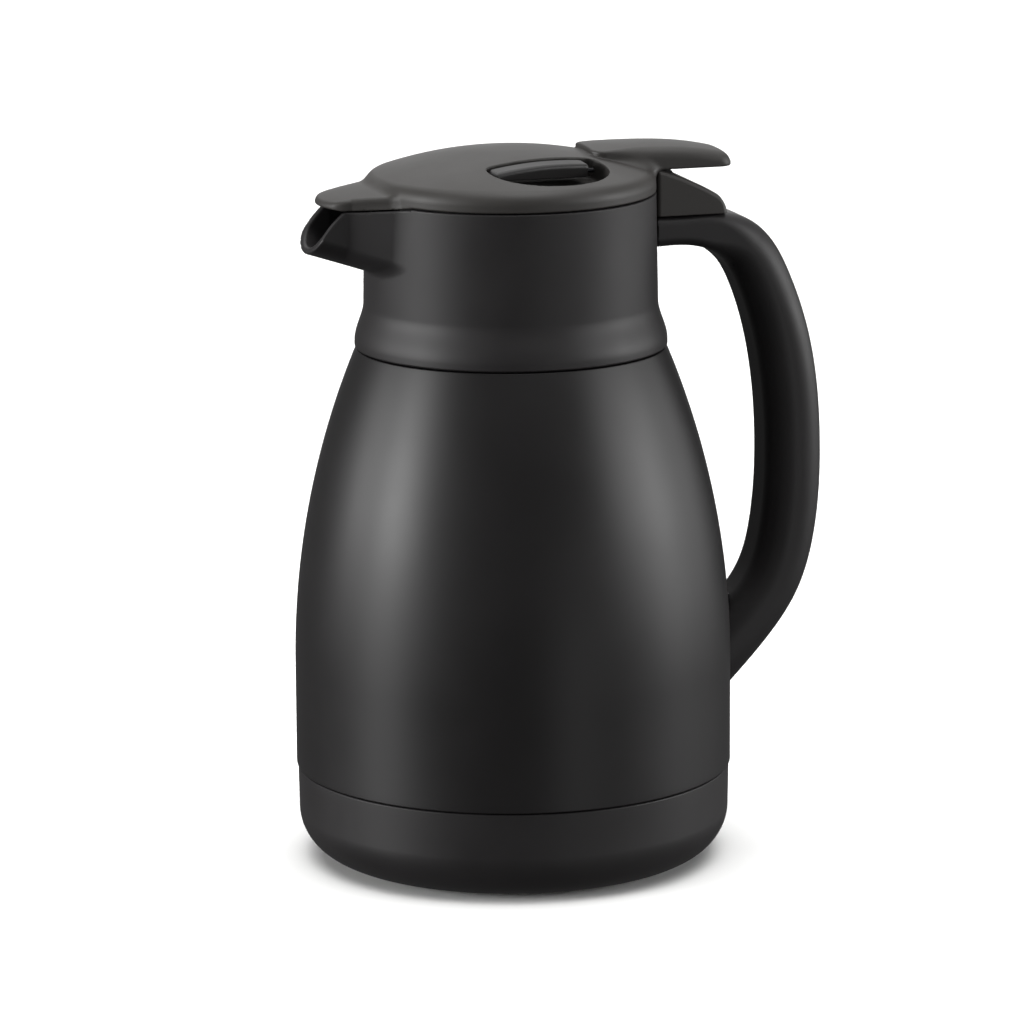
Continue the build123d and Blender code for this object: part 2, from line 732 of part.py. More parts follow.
def plug_spots():
    """Plan positions of the plug's screws."""
    step = 360 / plug_screw_count
    angles = [radians(plug_screw_start + step * i) for i in range(plug_screw_count)]
    return [(plug_screw_pcd_r * cos(a), plug_screw_pcd_r * sin(a)) for a in angles]


# ------------------------------------------------------------------ thumb lever
# Crown line of the lever along the middle plane: x, height.
lever_crown_line = [
    (24.5, 231.3), (31.0, 232.2), (38.0, 232.7), (47.0, 232.8), (57.0, 232.0), (65.0, 230.6),
    (70.0, 229.4), (73.4, 228.4),
]


def lever_section(x, top_z):
    """Slice across the lever: flat underside, upright sides, crowned top with rounded shoulders."""
    edge_z = top_z - lever_crown_drop
    foot_z = lever_low_z - lever_root_depth
    side = lever_half
    lines = Polyline((-side, edge_z), (-side, foot_z), (side, foot_z), (side, edge_z))
    lines += ThreePointArc((side, edge_z), (0, top_z), (-side, edge_z))
    shoulders = [(side, edge_z, lever_edge_round), (-side, edge_z, lever_edge_round)]
    face = soften(make_face(lines), shoulders)
    return Plane(origin=(x, 0, 0), x_dir=(0, 1, 0), z_dir=(1, 0, 0)) * face


def make_thumb_lever():
    body = loft([lever_section(x, z) for x, z in lever_crown_line])
    plan = outline([(lever_front_x, -lever_half), (lever_end_x, -lever_half), (lever_end_x, lever_half),
                    (lever_front_x, lever_half)])
    corners = [(x, side * lever_half, radius) for side in (-1, 1)
               for x, radius in ((lever_end_x, lever_end_round), (lever_front_x, lever_front_round))]
    plan = soften(plan, corners)
    body = body & (Pos(0, 0, lever_low_z - 3) * extrude(plan, 20))
    body = body - slab(lid_r - 1, lever_end_x + 5, -20, 20, lever_low_z - 20, lever_low_z)
    lid = spun(lid_profile(0, lid_low_z - 5))
    knuckle_way = slab(40, pin_x + 5, -knuckle_half - 1, knuckle_half + 1, 215, pin_z + knuckle_r)
    for x in lever_screw_xs:
        body = body - rod(screw_r, lid_low_z, lid_roof_z(x) + lid_wall + lever_screw_bite, x)
    return keep_largest(body - lid - knuckle_way)


def make_lever_screws():
    """Screws from inside the lid that hold the lever on the dome."""
    screws = []
    for x in lever_screw_xs:
        seat_z = lid_roof_z(x + screw_head_r) - 0.1
        head = rod(screw_head_r, seat_z - screw_head_t, seat_z, x)
        screws.append(head + rod(screw_r, seat_z - 0.1, lid_roof_z(x) + lid_wall + lever_screw_bite, x))
    return Compound(children=screws)


# ------------------------------------------------------------------ plug
def make_plug_body():
    top_z = lid_low_z
    outer = spun(outline([
        (0, nose_low_z), (nose_r, nose_low_z), (nose_r, plug_flange_z), (plug_r, plug_flange_z),
        (plug_r, top_z), (0, top_z),
    ]))
    inner = spun(outline([
        (0, nose_low_z + plug_t), (nose_r - plug_t, nose_low_z + plug_t),
        (nose_r - plug_t, plug_flange_z + plug_t), (plug_r - plug_t, plug_flange_z + plug_t),
        (plug_r - plug_t, top_z + 1), (0, top_z + 1),
    ]))
    posts = spots_on_plug(screw_r + 1.6, nose_low_z + 0.5, top_z)
    bores = spots_on_plug(screw_r, top_z - 9, top_z + 1)
    return outer - inner + posts - bores


def make_plug_foam():
    top_z = lid_low_z - foam_gap
    side = nose_r - plug_t - foam_gap
    block = rod(side, nose_low_z + plug_t + foam_gap, top_z)
    return block - spots_on_plug(screw_r + 1.6 + foam_gap, nose_low_z, top_z + 1)


def make_plug_screws():
    """Screws from above that hold the plug under the lid's plate."""
    top_z = lid_low_z + plate_t
    screws = [rod(screw_r, lid_low_z - 8, top_z + 0.1, *s) + rod(screw_head_r, top_z, top_z + 1.2, *s)
              for s in plug_spots()]
    return Compound(children=screws)


def make_plug_gasket():
    return tube(gasket_r, nose_r, deck_z + gasket_lift, plug_flange_z)


# ------------------------------------------------------------------ release tab
def tab_plan():
    """Segment that fills the far side of the recess, a small gap inside its outline."""
    inner = offset(recess_plan(0), -tab_gap)
    return inner & Pos(0, tab_face + recess_clear / 2, 0) * Rectangle(2 * recess_clear, recess_clear)


def make_release_tab():
    frame = recess_frame()
    prism = frame * (Pos(0, 0, -recess_depth + tab_floor_gap) * extrude(tab_plan(), recess_depth + 6))
    dome = Pos(0, 0, dome_centre_z) * Sphere(dome_r - tab_sink)
    return keep_largest((prism & dome) - tab_rod(tab_pin_r + pin_run_fit))


def make_tab_pin():
    return tab_rod(tab_pin_r)


# ------------------------------------------------------------------ all pieces
pieces = {
    "outer_shell": make_outer_shell,
    "inner_flask": make_inner_flask,
    "radiation_foil": make_radiation_foil,
    "outer_bottom": make_outer_bottom,
    "vacuum_seal": make_vacuum_seal,
    "base_cover": make_base_cover,
    "base_pad": make_base_pad,
    "shoulder_collar": make_shoulder_collar,
    "neck_seal": make_neck_seal,
    "handle_shell": make_handle_shell,
    "handle_liner": make_handle_liner,
    "handle_bracket": make_handle_bracket,
    "handle_screw": make_handle_screw,
    "hinge_block": make_hinge_block,
    "arm_screws": make_arm_screws,
    "hinge_pin": make_hinge_pin,
    "lid_cover": make_lid_cover,
    "lid_plate": make_lid_plate,
    "thumb_lever": make_thumb_lever,
    "lever_screws": make_lever_screws,
    "plug_body": make_plug_body,
    "plug_foam": make_plug_foam,
    "plug_screws": make_plug_screws,
    "plug_gasket": make_plug_gasket,
    "release_tab": make_release_tab,
    "tab_pin": make_tab_pin,
}


def main():
    os.makedirs("parts", exist_ok=True)
    for name, make in pieces.items():
        export_step(make(), f"parts/{name}.step")


main()
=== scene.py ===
import math
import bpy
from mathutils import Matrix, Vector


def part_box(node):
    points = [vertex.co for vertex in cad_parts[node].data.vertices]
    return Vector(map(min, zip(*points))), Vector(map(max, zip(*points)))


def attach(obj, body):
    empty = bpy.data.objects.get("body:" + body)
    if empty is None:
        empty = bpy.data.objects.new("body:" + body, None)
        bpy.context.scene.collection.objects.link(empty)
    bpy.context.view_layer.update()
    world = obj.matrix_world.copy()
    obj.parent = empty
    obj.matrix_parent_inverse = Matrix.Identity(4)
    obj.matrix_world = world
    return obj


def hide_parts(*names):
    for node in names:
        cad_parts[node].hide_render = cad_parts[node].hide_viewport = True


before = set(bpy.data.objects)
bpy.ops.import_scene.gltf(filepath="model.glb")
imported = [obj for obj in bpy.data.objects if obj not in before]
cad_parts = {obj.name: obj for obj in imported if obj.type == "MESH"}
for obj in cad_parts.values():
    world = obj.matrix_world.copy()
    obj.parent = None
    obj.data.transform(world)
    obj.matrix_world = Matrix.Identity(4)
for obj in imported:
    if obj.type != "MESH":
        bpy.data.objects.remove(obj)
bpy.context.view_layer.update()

from types import SimpleNamespace

import bmesh
import bpy
import numpy as np
from mathutils import Matrix, Vector

bl_info = {
    "name": "Thermal carafe",
    "version": (1, 0, 0),
    "blender": (4, 5, 0),
    "location": "View3D > Sidebar > Carafe",
    "description": "Dresses the packed carafe: painted steel wall, moulded collar, lid, lever and handle",
    "category": "Object",
}

MM = 0.001


def lengths():
    """The sizes of the panel, in millimetres."""
    sizes = bpy.context.scene.carafe_sizes
    return SimpleNamespace(**{name: getattr(sizes, name) / MM for name in CarafeSizes.__annotations__})


# ------------------------------------------------------------------ sizes taken from the frame, in millimetres
def node_box(node):
    """Lowest and highest corner of a CAD node, in millimetres."""
    low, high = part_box(node)
    return low / MM, high / MM


BODY_LOW, BODY_HIGH = node_box("outer_shell")
COLLAR_LOW, COLLAR_HIGH = node_box("shoulder_collar")
BASE_LOW, BASE_HIGH = node_box("base_cover")
LID_LOW, LID_HIGH = node_box("lid_cover")
LEVER_LOW, LEVER_HIGH = node_box("thumb_lever")
BLOCK_LOW, BLOCK_HIGH = node_box("hinge_block")
TAB_LOW, TAB_HIGH = node_box("release_tab")
TAB_PIN_LOW, TAB_PIN_HIGH = node_box("tab_pin")
PIN_LOW, PIN_HIGH = node_box("hinge_pin")
PAD_LOW, PAD_HIGH = node_box("base_pad")
HANDLE_LOW, HANDLE_HIGH = node_box("handle_shell")

BODY_R = BODY_HIGH.x                    # straight part of the painted wall
SHOULDER_Z = 64.5                       # height where the wall starts to lean in
TAPER_R = 269.54                        # radius of the leaning wall
BASE_SEAM_Z = 30.5
COLLAR_SEAM_Z = 168.4
SEAM_GAP = 0.4
SHELL_T = 0.6
NECK_R = 40.5
LEDGE_R = 47.2
NECK_FOOT_Z = 178.0
NECK_TOP_Z = BODY_HIGH.z
SKIRT_R = 67.4                          # steel skirt that the base cover fits round
BASE_WALL, BASE_FLARE, BASE_WEB = 2.4, 0.5, 1.7
RIB_OUTER_R, RIB_INNER_R = 50.0, 48.0   # rib ring under the steel bottom
PAD_CLEAR, PAD_RIM_RISE = 0.15, 0.5
BOTTOM_Z = BODY_LOW.z
COLLAR_FOOT_R = 50.6
COLLAR_WAIST_R = 47.6
COLLAR_TOP_R = 47.0
LID_SEAM_Z = COLLAR_HIGH.z + 0.2        # middle of the line between collar and lid
LID_GAP = 0.2
LID_R = 47.0
LID_EDGE_Z = 220.7
LID_EDGE_ROUND = 5.1
LID_TOP_Z = 232.8
DECK_Z = 200.0
PIN_X = (PIN_LOW.x + PIN_HIGH.x) / 2
PIN_Z = (PIN_LOW.z + PIN_HIGH.z) / 2


# ------------------------------------------------------------------ fields: negative inside, millimetres
def joined(a, b, radius):
    """Union of two fields with a hollow fillet between them."""
    return np.maximum(radius, np.minimum(a, b)) - np.hypot(np.maximum(radius - a, 0), np.maximum(radius - b, 0))


def shared(a, b, radius):
    """What two fields share, with a rounded edge."""
    return np.minimum(-radius, np.maximum(a, b)) + np.hypot(np.maximum(radius + a, 0), np.maximum(radius + b, 0))


def smooth_step(value, start, end):
    """0 before start, 1 after end, an S curve between."""
    t = np.clip((value - start) / (end - start), 0, 1)
    return t * t * (3 - 2 * t)


def rounded_box(u, v, half_u, half_v, radius):
    """Rectangle with round corners, centred."""
    du, dv = np.abs(u) - half_u + radius, np.abs(v) - half_v + radius
    return np.hypot(np.maximum(du, 0), np.maximum(dv, 0)) + np.minimum(np.maximum(du, dv), 0) - radius


def smooth_line(points, degree=5):
    """Smooth curve y(x) near given points."""
    xs, ys = zip(*points)
    return np.polynomial.Polynomial.fit(xs, ys, degree)


def circle_through(a, b, c):
    """Centre and radius of the circle through three points."""
    rows = np.array([[b[0] - a[0], b[1] - a[1]], [c[0] - a[0], c[1] - a[1]]], float) * 2
    sums = [b[0] ** 2 - a[0] ** 2 + b[1] ** 2 - a[1] ** 2, c[0] ** 2 - a[0] ** 2 + c[1] ** 2 - a[1] ** 2]
    centre = np.linalg.solve(rows, sums)
    return centre, math.dist(centre, a)


def skin_of(field, low, high, step):
    """Points and quads of the surface where a field is zero, drawn exactly onto it, with the outward slopes."""
    low, high = np.array(low, float), np.array(high, float)
    counts = np.ceil((high - low) / step).astype(int) + 1
    x, y, z = (low[i] + step * np.arange(counts[i]) for i in range(3))
    values = np.broadcast_to(field(x[:, None, None], y[None, :, None], z[None, None, :]), counts)
    rings, spots = [], []
    for axis in range(3):
        near = values.take(np.arange(counts[axis] - 1), axis)
        far = values.take(np.arange(1, counts[axis]), axis)
        edge = np.argwhere((near < 0) != (far < 0))
        a, b = near[tuple(edge.T)], far[tuple(edge.T)]
        spot = low + step * edge
        spot[:, axis] += step * a / (a - b)
        across, along = (axis + 1) % 3, (axis + 2) % 3
        ring = []
        for back_across, back_along in ((0, 0), (1, 0), (1, 1), (0, 1)):
            cell = edge.copy()
            cell[:, across] -= back_across
            cell[:, along] -= back_along
            ring.append(np.ravel_multi_index(tuple(cell.T), tuple(counts)))
        ring = np.stack(ring, 1)
        ring[a >= 0] = ring[a >= 0, ::-1]
        rings.append(ring)
        spots.append(np.repeat(spot, 4, axis=0))
    rings, spots = np.concatenate(rings), np.concatenate(spots)
    _, index = np.unique(rings.ravel(), return_inverse=True)
    total = np.stack([np.bincount(index, weights=spots[:, i]) for i in range(3)], 1)
    points = total / np.bincount(index)[:, None]
    for _ in range(3):
        slope = slopes(field, points)
        length = np.maximum((slope ** 2).sum(1), 0.05)
        move = (field(*points.T) / length)[:, None] * slope
        points -= np.clip(move, -step / 2, step / 2)
    slope = slopes(field, points)
    return points, index.reshape(-1, 4), slope / np.maximum(np.linalg.norm(slope, axis=1), 1e-9)[:, None]


def slopes(field, points, reach=0.02):
    """How fast a field grows along X, Y and Z at each point."""
    found = []
    for axis in range(3):
        ahead, behind = points.copy(), points.copy()
        ahead[:, axis] += reach
        behind[:, axis] -= reach
        found.append((field(*ahead.T) - field(*behind.T)) / (2 * reach))
    return np.stack(found, 1)


def piece_from_field(name, field, low, high, step, material):
    """Object whose skin is the zero surface of a field, shaded by the field's own slopes."""
    points, quads, normals = skin_of(field, low, high, step)
    mesh = bpy.data.meshes.new(name)
    mesh.from_pydata((points * MM).tolist(), [], quads.tolist())
    mesh.update()
    mesh.shade_smooth()
    mesh.normals_split_custom_set_from_vertices(normals.tolist())
    return finished(name, mesh, material)


def finished(name, mesh, material):
    """Object at the origin that holds a mesh and one material."""
    mesh.materials.clear()
    mesh.materials.append(material)
    piece = bpy.data.objects.new(name, mesh)
    bpy.context.scene.collection.objects.link(piece)
    return piece


# ------------------------------------------------------------------ materials
def linear(hex_colour):
    """sRGB hex colour as linear RGBA; a linear colour from a property passes through."""
    if not isinstance(hex_colour, str):
        return [*hex_colour, 1.0]
    parts = [int(hex_colour[i:i + 2], 16) / 255 for i in (1, 3, 5)]
    return [c / 12.92 if c <= 0.04045 else ((c + 0.055) / 1.055) ** 2.4 for c in parts] + [1.0]


def add_node(tree, kind, settings=None, links=None, **fields):
    """New node: fields are its own properties, settings its socket values, links its inputs from other sockets."""
    node = tree.nodes.new(kind)
    for key, value in fields.items():
        setattr(node, key, value)
    for key, value in (settings or {}).items():
        node.inputs[key].default_value = value
    for key, socket in (links or {}).items():
        tree.links.new(socket, node.inputs[key])
    return node


def new_surface(name):
    """Empty material with its node tree, and the object coordinates that every pattern reads."""
    material = bpy.data.materials.new(name)
    material.use_nodes = True
    tree = material.node_tree
    tree.nodes.clear()
    place = add_node(tree, "ShaderNodeTexCoord").outputs["Object"]
    return material, tree, place


def grained(name, colour, shade, roughness, grain_mm, depth_mm, drift_mm=18.0, spread=0.05, settings=None):
    """Opaque surface with a fine even grain, and colour and gloss that drift slowly over it."""
    material, tree, place = new_surface(name)
    grain = add_node(tree, "ShaderNodeTexNoise", {"Scale": 1 / (grain_mm * MM), "Detail": 2.0, "Roughness": 0.55},
                     {"Vector": place})
    drift = add_node(tree, "ShaderNodeTexNoise", {"Scale": 1 / (drift_mm * MM), "Detail": 3.0}, {"Vector": place})
    tint = add_node(tree, "ShaderNodeValToRGB", None, {"Fac": drift.outputs["Fac"]})
    tint.color_ramp.elements[0].position = 0.3
    tint.color_ramp.elements[0].color = linear(shade)
    tint.color_ramp.elements[1].position = 0.7
    tint.color_ramp.elements[1].color = linear(colour)
    gloss = add_node(tree, "ShaderNodeMapRange", {"From Min": 0.3, "From Max": 0.7, "To Min": roughness - spread,
                                                  "To Max": roughness + spread}, {"Value": drift.outputs["Fac"]})
    bump = add_node(tree, "ShaderNodeBump", {"Strength": 1.0, "Distance": depth_mm * MM},
                    {"Height": grain.outputs["Fac"]})
    shader = add_node(tree, "ShaderNodeBsdfPrincipled", {"IOR": 1.5, **(settings or {})}, {
        "Base Color": tint.outputs["Color"], "Roughness": gloss.outputs["Result"], "Normal": bump.outputs["Normal"]})
    add_node(tree, "ShaderNodeOutputMaterial", None, {"Surface": shader.outputs["BSDF"]})
    return material


def satin_paint():
    """Satin stoving enamel sprayed on steel: a soft wide sheen, with a faint orange peel."""
    look = bpy.context.scene.carafe_colours
    return grained("satin_enamel_on_steel", look.paint, "#131112", 0.42, 0.9, 0.006, 26.0, 0.015,
                   {"IOR": 1.5})


def dark_polypropylene():
    """Injection-moulded polypropylene from a spark-eroded mould: matt, with a very fine grain."""
    look = bpy.context.scene.carafe_colours
    return grained("moulded_polypropylene_dark", look.dark_plastic, "#1f1d1e", 0.50, 0.45, 0.010, 22.0, 0.04,
                   {"IOR": 1.49})


def warm_polypropylene_and_painted_light():
    """The same moulded plastic in the warmer shade of the lid; its lighter value is partly the lid's own tone and
    partly painted light on the sides of the lever and hinge block.
    """
    look = bpy.context.scene.carafe_colours
    return grained("moulded_polypropylene_warm", look.warm_plastic, "#373533", 0.50, 0.45, 0.010, 22.0, 0.04,
                   {"IOR": 1.49})


def tab_plastic():
    """Moulded acetal of the release tab: smoother, so its ridge catches a line of light."""
    look = bpy.context.scene.carafe_colours
    return grained("moulded_acetal_tab", look.tab, "#2b2a2a", 0.40, 0.4, 0.006, 12.0, 0.03, {"IOR": 1.48})


def milled_steel(name, colour, roughness, streak_mm):
    """Steel or foil with its mill finish: long fine streaks across the height, which stretch the highlights."""
    material, tree, place = new_surface(name)
    turn = add_node(tree, "ShaderNodeMapping", {"Scale": (1.0, 1.0, 40.0)}, {"Vector": place})
    streak = add_node(tree, "ShaderNodeTexNoise", {"Scale": 1 / (streak_mm * MM), "Detail": 4.0},
                      {"Vector": turn.outputs["Vector"]})
    gloss = add_node(tree, "ShaderNodeMapRange", {"To Min": roughness - 0.06, "To Max": roughness + 0.08},
                     {"Value": streak.outputs["Fac"]})
    bump = add_node(tree, "ShaderNodeBump", {"Strength": 0.4, "Distance": 0.004 * MM},
                    {"Height": streak.outputs["Fac"]})
    shader = add_node(tree, "ShaderNodeBsdfPrincipled", {"Base Color": linear(colour), "Metallic": 1.0}, {
        "Roughness": gloss.outputs["Result"], "Normal": bump.outputs["Normal"]})
    add_node(tree, "ShaderNodeOutputMaterial", None, {"Surface": shader.outputs["BSDF"]})
    return material


def soft_rubber(name, colour, shade):
    """Moulded silicone or rubber: dull and slightly powdery."""
    return grained(name, colour, shade, 0.68, 0.6, 0.012, 9.0, 0.05, {"IOR": 1.42, "Sheen Weight": 0.1})


def foam():
    """Cut polystyrene foam: white beads pressed together, about 2 mm across."""
    material, tree, place = new_surface("bead_foam")
    beads = add_node(tree, "ShaderNodeTexVoronoi", {"Scale": 1 / (2.2 * MM)}, {"Vector": place})
    bump = add_node(tree, "ShaderNodeBump", {"Distance": 0.25 * MM}, {"Height": beads.outputs["Distance"]})
    tint = add_node(tree, "ShaderNodeValToRGB", None, {"Fac": beads.outputs["Distance"]})
    tint.color_ramp.elements[0].color = linear("#f2f0ec")
    tint.color_ramp.elements[1].color = linear("#dcd9d2")
    shader = add_node(tree, "ShaderNodeBsdfPrincipled", {"Roughness": 0.8, "IOR": 1.4}, {
        "Base Color": tint.outputs["Color"], "Normal": bump.outputs["Normal"]})
    add_node(tree, "ShaderNodeOutputMaterial", None, {"Surface": shader.outputs["BSDF"]})
    return material


def finish(name):
    """A material by its maker's name, made once."""
    makers = {
        "satin_enamel_on_steel": satin_paint,
        "moulded_polypropylene_dark": dark_polypropylene,
        "moulded_polypropylene_warm": warm_polypropylene_and_painted_light,
        "moulded_acetal_tab": tab_plastic,
        "brushed_stainless": lambda: milled_steel("brushed_stainless", "#c9c7c4", 0.30, 9.0),
        "zinc_plated_steel": lambda: milled_steel("zinc_plated_steel", "#b4b6ba", 0.34, 3.0),
        "blackened_steel": lambda: milled_steel("blackened_steel", "#232325", 0.45, 3.0),
        "rolled_foil": lambda: milled_steel("rolled_foil", "#d8d9dc", 0.18, 14.0),
        "black_rubber": lambda: soft_rubber("black_rubber", "#262526", "#1f1e1f"),
        "grey_silicone": lambda: soft_rubber("grey_silicone", "#8d8c8a", "#7e7d7b"),
        "bead_foam": foam,
        "plug_polypropylene": lambda: grained("plug_polypropylene", "#3a3938", "#343332", 0.45, 0.5, 0.008),
    }
    return bpy.data.materials.get(name) or makers[name]()


# ------------------------------------------------------------------ turned pieces
def turned_tree():
    """Geometry Nodes rule for a turned piece: a half section, point by point, spun round the Z axis."""
    tree = bpy.data.node_groups.new("turned_piece", "GeometryNodeTree")
    face = tree.interface
    face.new_socket("Half section", in_out="INPUT", socket_type="NodeSocketGeometry")
    for label, kind in (("Segments", "NodeSocketInt"), ("Rows", "NodeSocketInt"), ("Finish", "NodeSocketMaterial")):
        face.new_socket(label, in_out="INPUT", socket_type=kind)
    face.new_socket("Piece", in_out="OUTPUT", socket_type="NodeSocketGeometry")
    given = add_node(tree, "NodeGroupInput")
    columns = add_node(tree, "ShaderNodeMath", {1: 1.0}, {0: given.outputs["Segments"]}, operation="ADD")
    sheet = add_node(tree, "GeometryNodeMeshGrid", None, {
        "Vertices X": columns.outputs[0], "Vertices Y": given.outputs["Rows"]})
    number = add_node(tree, "GeometryNodeInputIndex").outputs[0]
    row = add_node(tree, "ShaderNodeMath", None, {0: number, 1: given.outputs["Rows"]}, operation="MODULO")
    ratio = add_node(tree, "ShaderNodeMath", None, {0: number, 1: given.outputs["Rows"]}, operation="DIVIDE")
    column = add_node(tree, "ShaderNodeMath", None, {0: ratio.outputs[0]}, operation="FLOOR")
    part = add_node(tree, "ShaderNodeMath", None, {0: column.outputs[0], 1: given.outputs["Segments"]},
                    operation="DIVIDE")
    angle = add_node(tree, "ShaderNodeMath", {1: math.tau}, {0: part.outputs[0]}, operation="MULTIPLY")
    place = add_node(tree, "GeometryNodeInputPosition").outputs[0]
    spot = add_node(tree, "GeometryNodeSampleIndex", None, {
        "Geometry": given.outputs["Half section"], "Value": place, "Index": row.outputs[0]},
        data_type="FLOAT_VECTOR", domain="POINT")
    turn = add_node(tree, "ShaderNodeVectorRotate", {"Axis": (0, 0, 1)}, {
        "Vector": spot.outputs["Value"], "Angle": angle.outputs[0]}, rotation_type="AXIS_ANGLE")
    moved = add_node(tree, "GeometryNodeSetPosition", None, {
        "Geometry": sheet.outputs["Mesh"], "Position": turn.outputs["Vector"]})
    closed = add_node(tree, "GeometryNodeMergeByDistance", {"Distance": 1e-6},
                      {"Geometry": moved.outputs["Geometry"]})
    smooth = add_node(tree, "GeometryNodeSetShadeSmooth", None, {"Geometry": closed.outputs["Geometry"]})
    real = add_node(tree, "GeometryNodeRealizeInstances", None, {"Geometry": smooth.outputs["Geometry"]})
    dressed = add_node(tree, "GeometryNodeSetMaterial", None, {
        "Geometry": real.outputs["Geometry"], "Material": given.outputs["Finish"]})
    add_node(tree, "NodeGroupOutput", None, {"Piece": dressed.outputs["Geometry"]})
    return tree


def socket_name(tree, label):
    """Identifier of a tree's input by its label."""
    return next(s.identifier for s in tree.interface.items_tree if s.in_out == "INPUT" and s.name == label)


def set_inputs(modifier, values):
    """Gives a Geometry Nodes modifier its input values by their labels."""
    for label, value in values.items():
        modifier[socket_name(modifier.node_group, label)] = value


def frozen(piece, name):
    """Plain mesh of what a piece's modifiers make; the working object goes."""
    held = piece.evaluated_get(bpy.context.evaluated_depsgraph_get())
    mesh = bpy.data.meshes.new_from_object(held)
    mesh.name = name
    bpy.data.objects.remove(piece)
    return mesh


def rounded_section(corners, support=2.4):
    """Half section from corners (radius, height, rounding): rounded corners as arcs, long runs divided."""
    line = []
    count = len(corners)
    for i, (r, z, rounding) in enumerate(corners):
        here = np.array((r, z), float)
        before, after = (np.array(corners[(i + s) % count][:2], float) for s in (-1, 1))
        to_before, to_after = before - here, after - here
        if rounding <= 0 or np.linalg.norm(to_before) < 1e-6 or np.linalg.norm(to_after) < 1e-6:
            line.append(here)
            continue
        to_before /= np.linalg.norm(to_before)
        to_after /= np.linalg.norm(to_after)
        half = math.acos(max(-1, min(1, float(to_before @ to_after)))) / 2
        reach = rounding / math.tan(half)
        centre = here + (to_before + to_after) / np.linalg.norm(to_before + to_after) * rounding / math.sin(half)
        start, end = here + to_before * reach - centre, here + to_after * reach - centre
        steps = max(3, int(rounding * 3))
        for t in np.linspace(0, 1, steps + 1):
            spoke = start * (1 - t) + end * t
            line.append(centre + spoke / np.linalg.norm(spoke) * rounding)
    full = []
    for a, b in zip(line, line[1:] + line[:1]):
        pieces = max(1, int(np.linalg.norm(b - a) / support))
        full += [a + (b - a) * k / pieces for k in range(pieces)]
    return full + [full[0]]


def turned_piece(name, section, material, segments=240):
    """Closed piece turned about Z from a half section given in millimetres."""
    mesh = bpy.data.meshes.new(name + "_section")
    mesh.from_pydata([(float(r) * MM, 0, float(z) * MM) for r, z in section], [], [])
    work = bpy.data.objects.new(name + "_section", mesh)
    bpy.context.scene.collection.objects.link(work)
    tree = bpy.data.node_groups.get("turned_piece") or turned_tree()
    spin = work.modifiers.new("turned", "NODES")
    spin.node_group = tree
    set_inputs(spin, {"Segments": segments, "Rows": len(section), "Finish": material})
    made = frozen(work, name)
    tidy_normals(made)
    piece = finished(name, made, material)
    return evenly_shaded(piece)


def tidy_normals(mesh):
    """Closes the seam and the poles and turns every face outwards."""
    shape = bmesh.new()
    shape.from_mesh(mesh)
    bmesh.ops.remove_doubles(shape, verts=shape.verts, dist=1e-6)
    bmesh.ops.dissolve_degenerate(shape, edges=shape.edges, dist=1e-7)
    bmesh.ops.recalc_face_normals(shape, faces=shape.faces)
    for f in shape.faces:
        f.smooth = True
    shape.to_mesh(mesh)
    shape.free()


def evenly_shaded(piece):
    """Shades broad faces flat up to their narrow rounded edges."""
    weigh = piece.modifiers.new("even_shading", "WEIGHTED_NORMAL")
    weigh.weight = 80
    material = piece.data.materials[0]
    name = piece.name
    made = frozen(piece, name)
    return finished(name, made, material)


# ------------------------------------------------------------------ body
def wall_r(z, inset=0.0):
    """Radius of the painted wall at a height."""
    if z <= SHOULDER_Z:
        return BODY_R - inset
    return BODY_R - TAPER_R + math.sqrt((TAPER_R - inset) ** 2 - (z - SHOULDER_Z) ** 2)


def make_steel_wall(sizes):
    """Painted sheet: skirt, joggle, straight wall, leaning wall, ledge, shoulder and neck."""
    step_z, t = BASE_SEAM_Z + SEAM_GAP / 2, SHELL_T
    levels = np.linspace(SHOULDER_Z, COLLAR_SEAM_Z, 40)
    outside = [(SKIRT_R, BOTTOM_Z, 0), (SKIRT_R, step_z, 0), (BODY_R, step_z, sizes.sheet_edge),
               (BODY_R, step_z + 3, 0)]
    outside += [(wall_r(z), z, 0) for z in levels[:-1]]
    outside += [(wall_r(COLLAR_SEAM_Z), COLLAR_SEAM_Z, sizes.sheet_edge), (LEDGE_R, COLLAR_SEAM_Z, 0),
                (NECK_R, NECK_FOOT_Z, 0), (NECK_R, NECK_TOP_Z, 0)]
    inside = [(NECK_R - t, NECK_TOP_Z, 0), (NECK_R - t, NECK_FOOT_Z - t, 0), (LEDGE_R - t / 2, COLLAR_SEAM_Z - t, 0)]
    inside += [(wall_r(z, t), z, 0) for z in levels[::-1] if z < COLLAR_SEAM_Z - t]
    inside += [(BODY_R - t, step_z + t, 0), (SKIRT_R - t, step_z + t, 0), (SKIRT_R - t, BOTTOM_Z, 0)]
    wall = turned_piece("steel_wall", rounded_section(outside + inside), finish("satin_enamel_on_steel"), 256)
    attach(wall, "carafe")
    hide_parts("outer_shell")


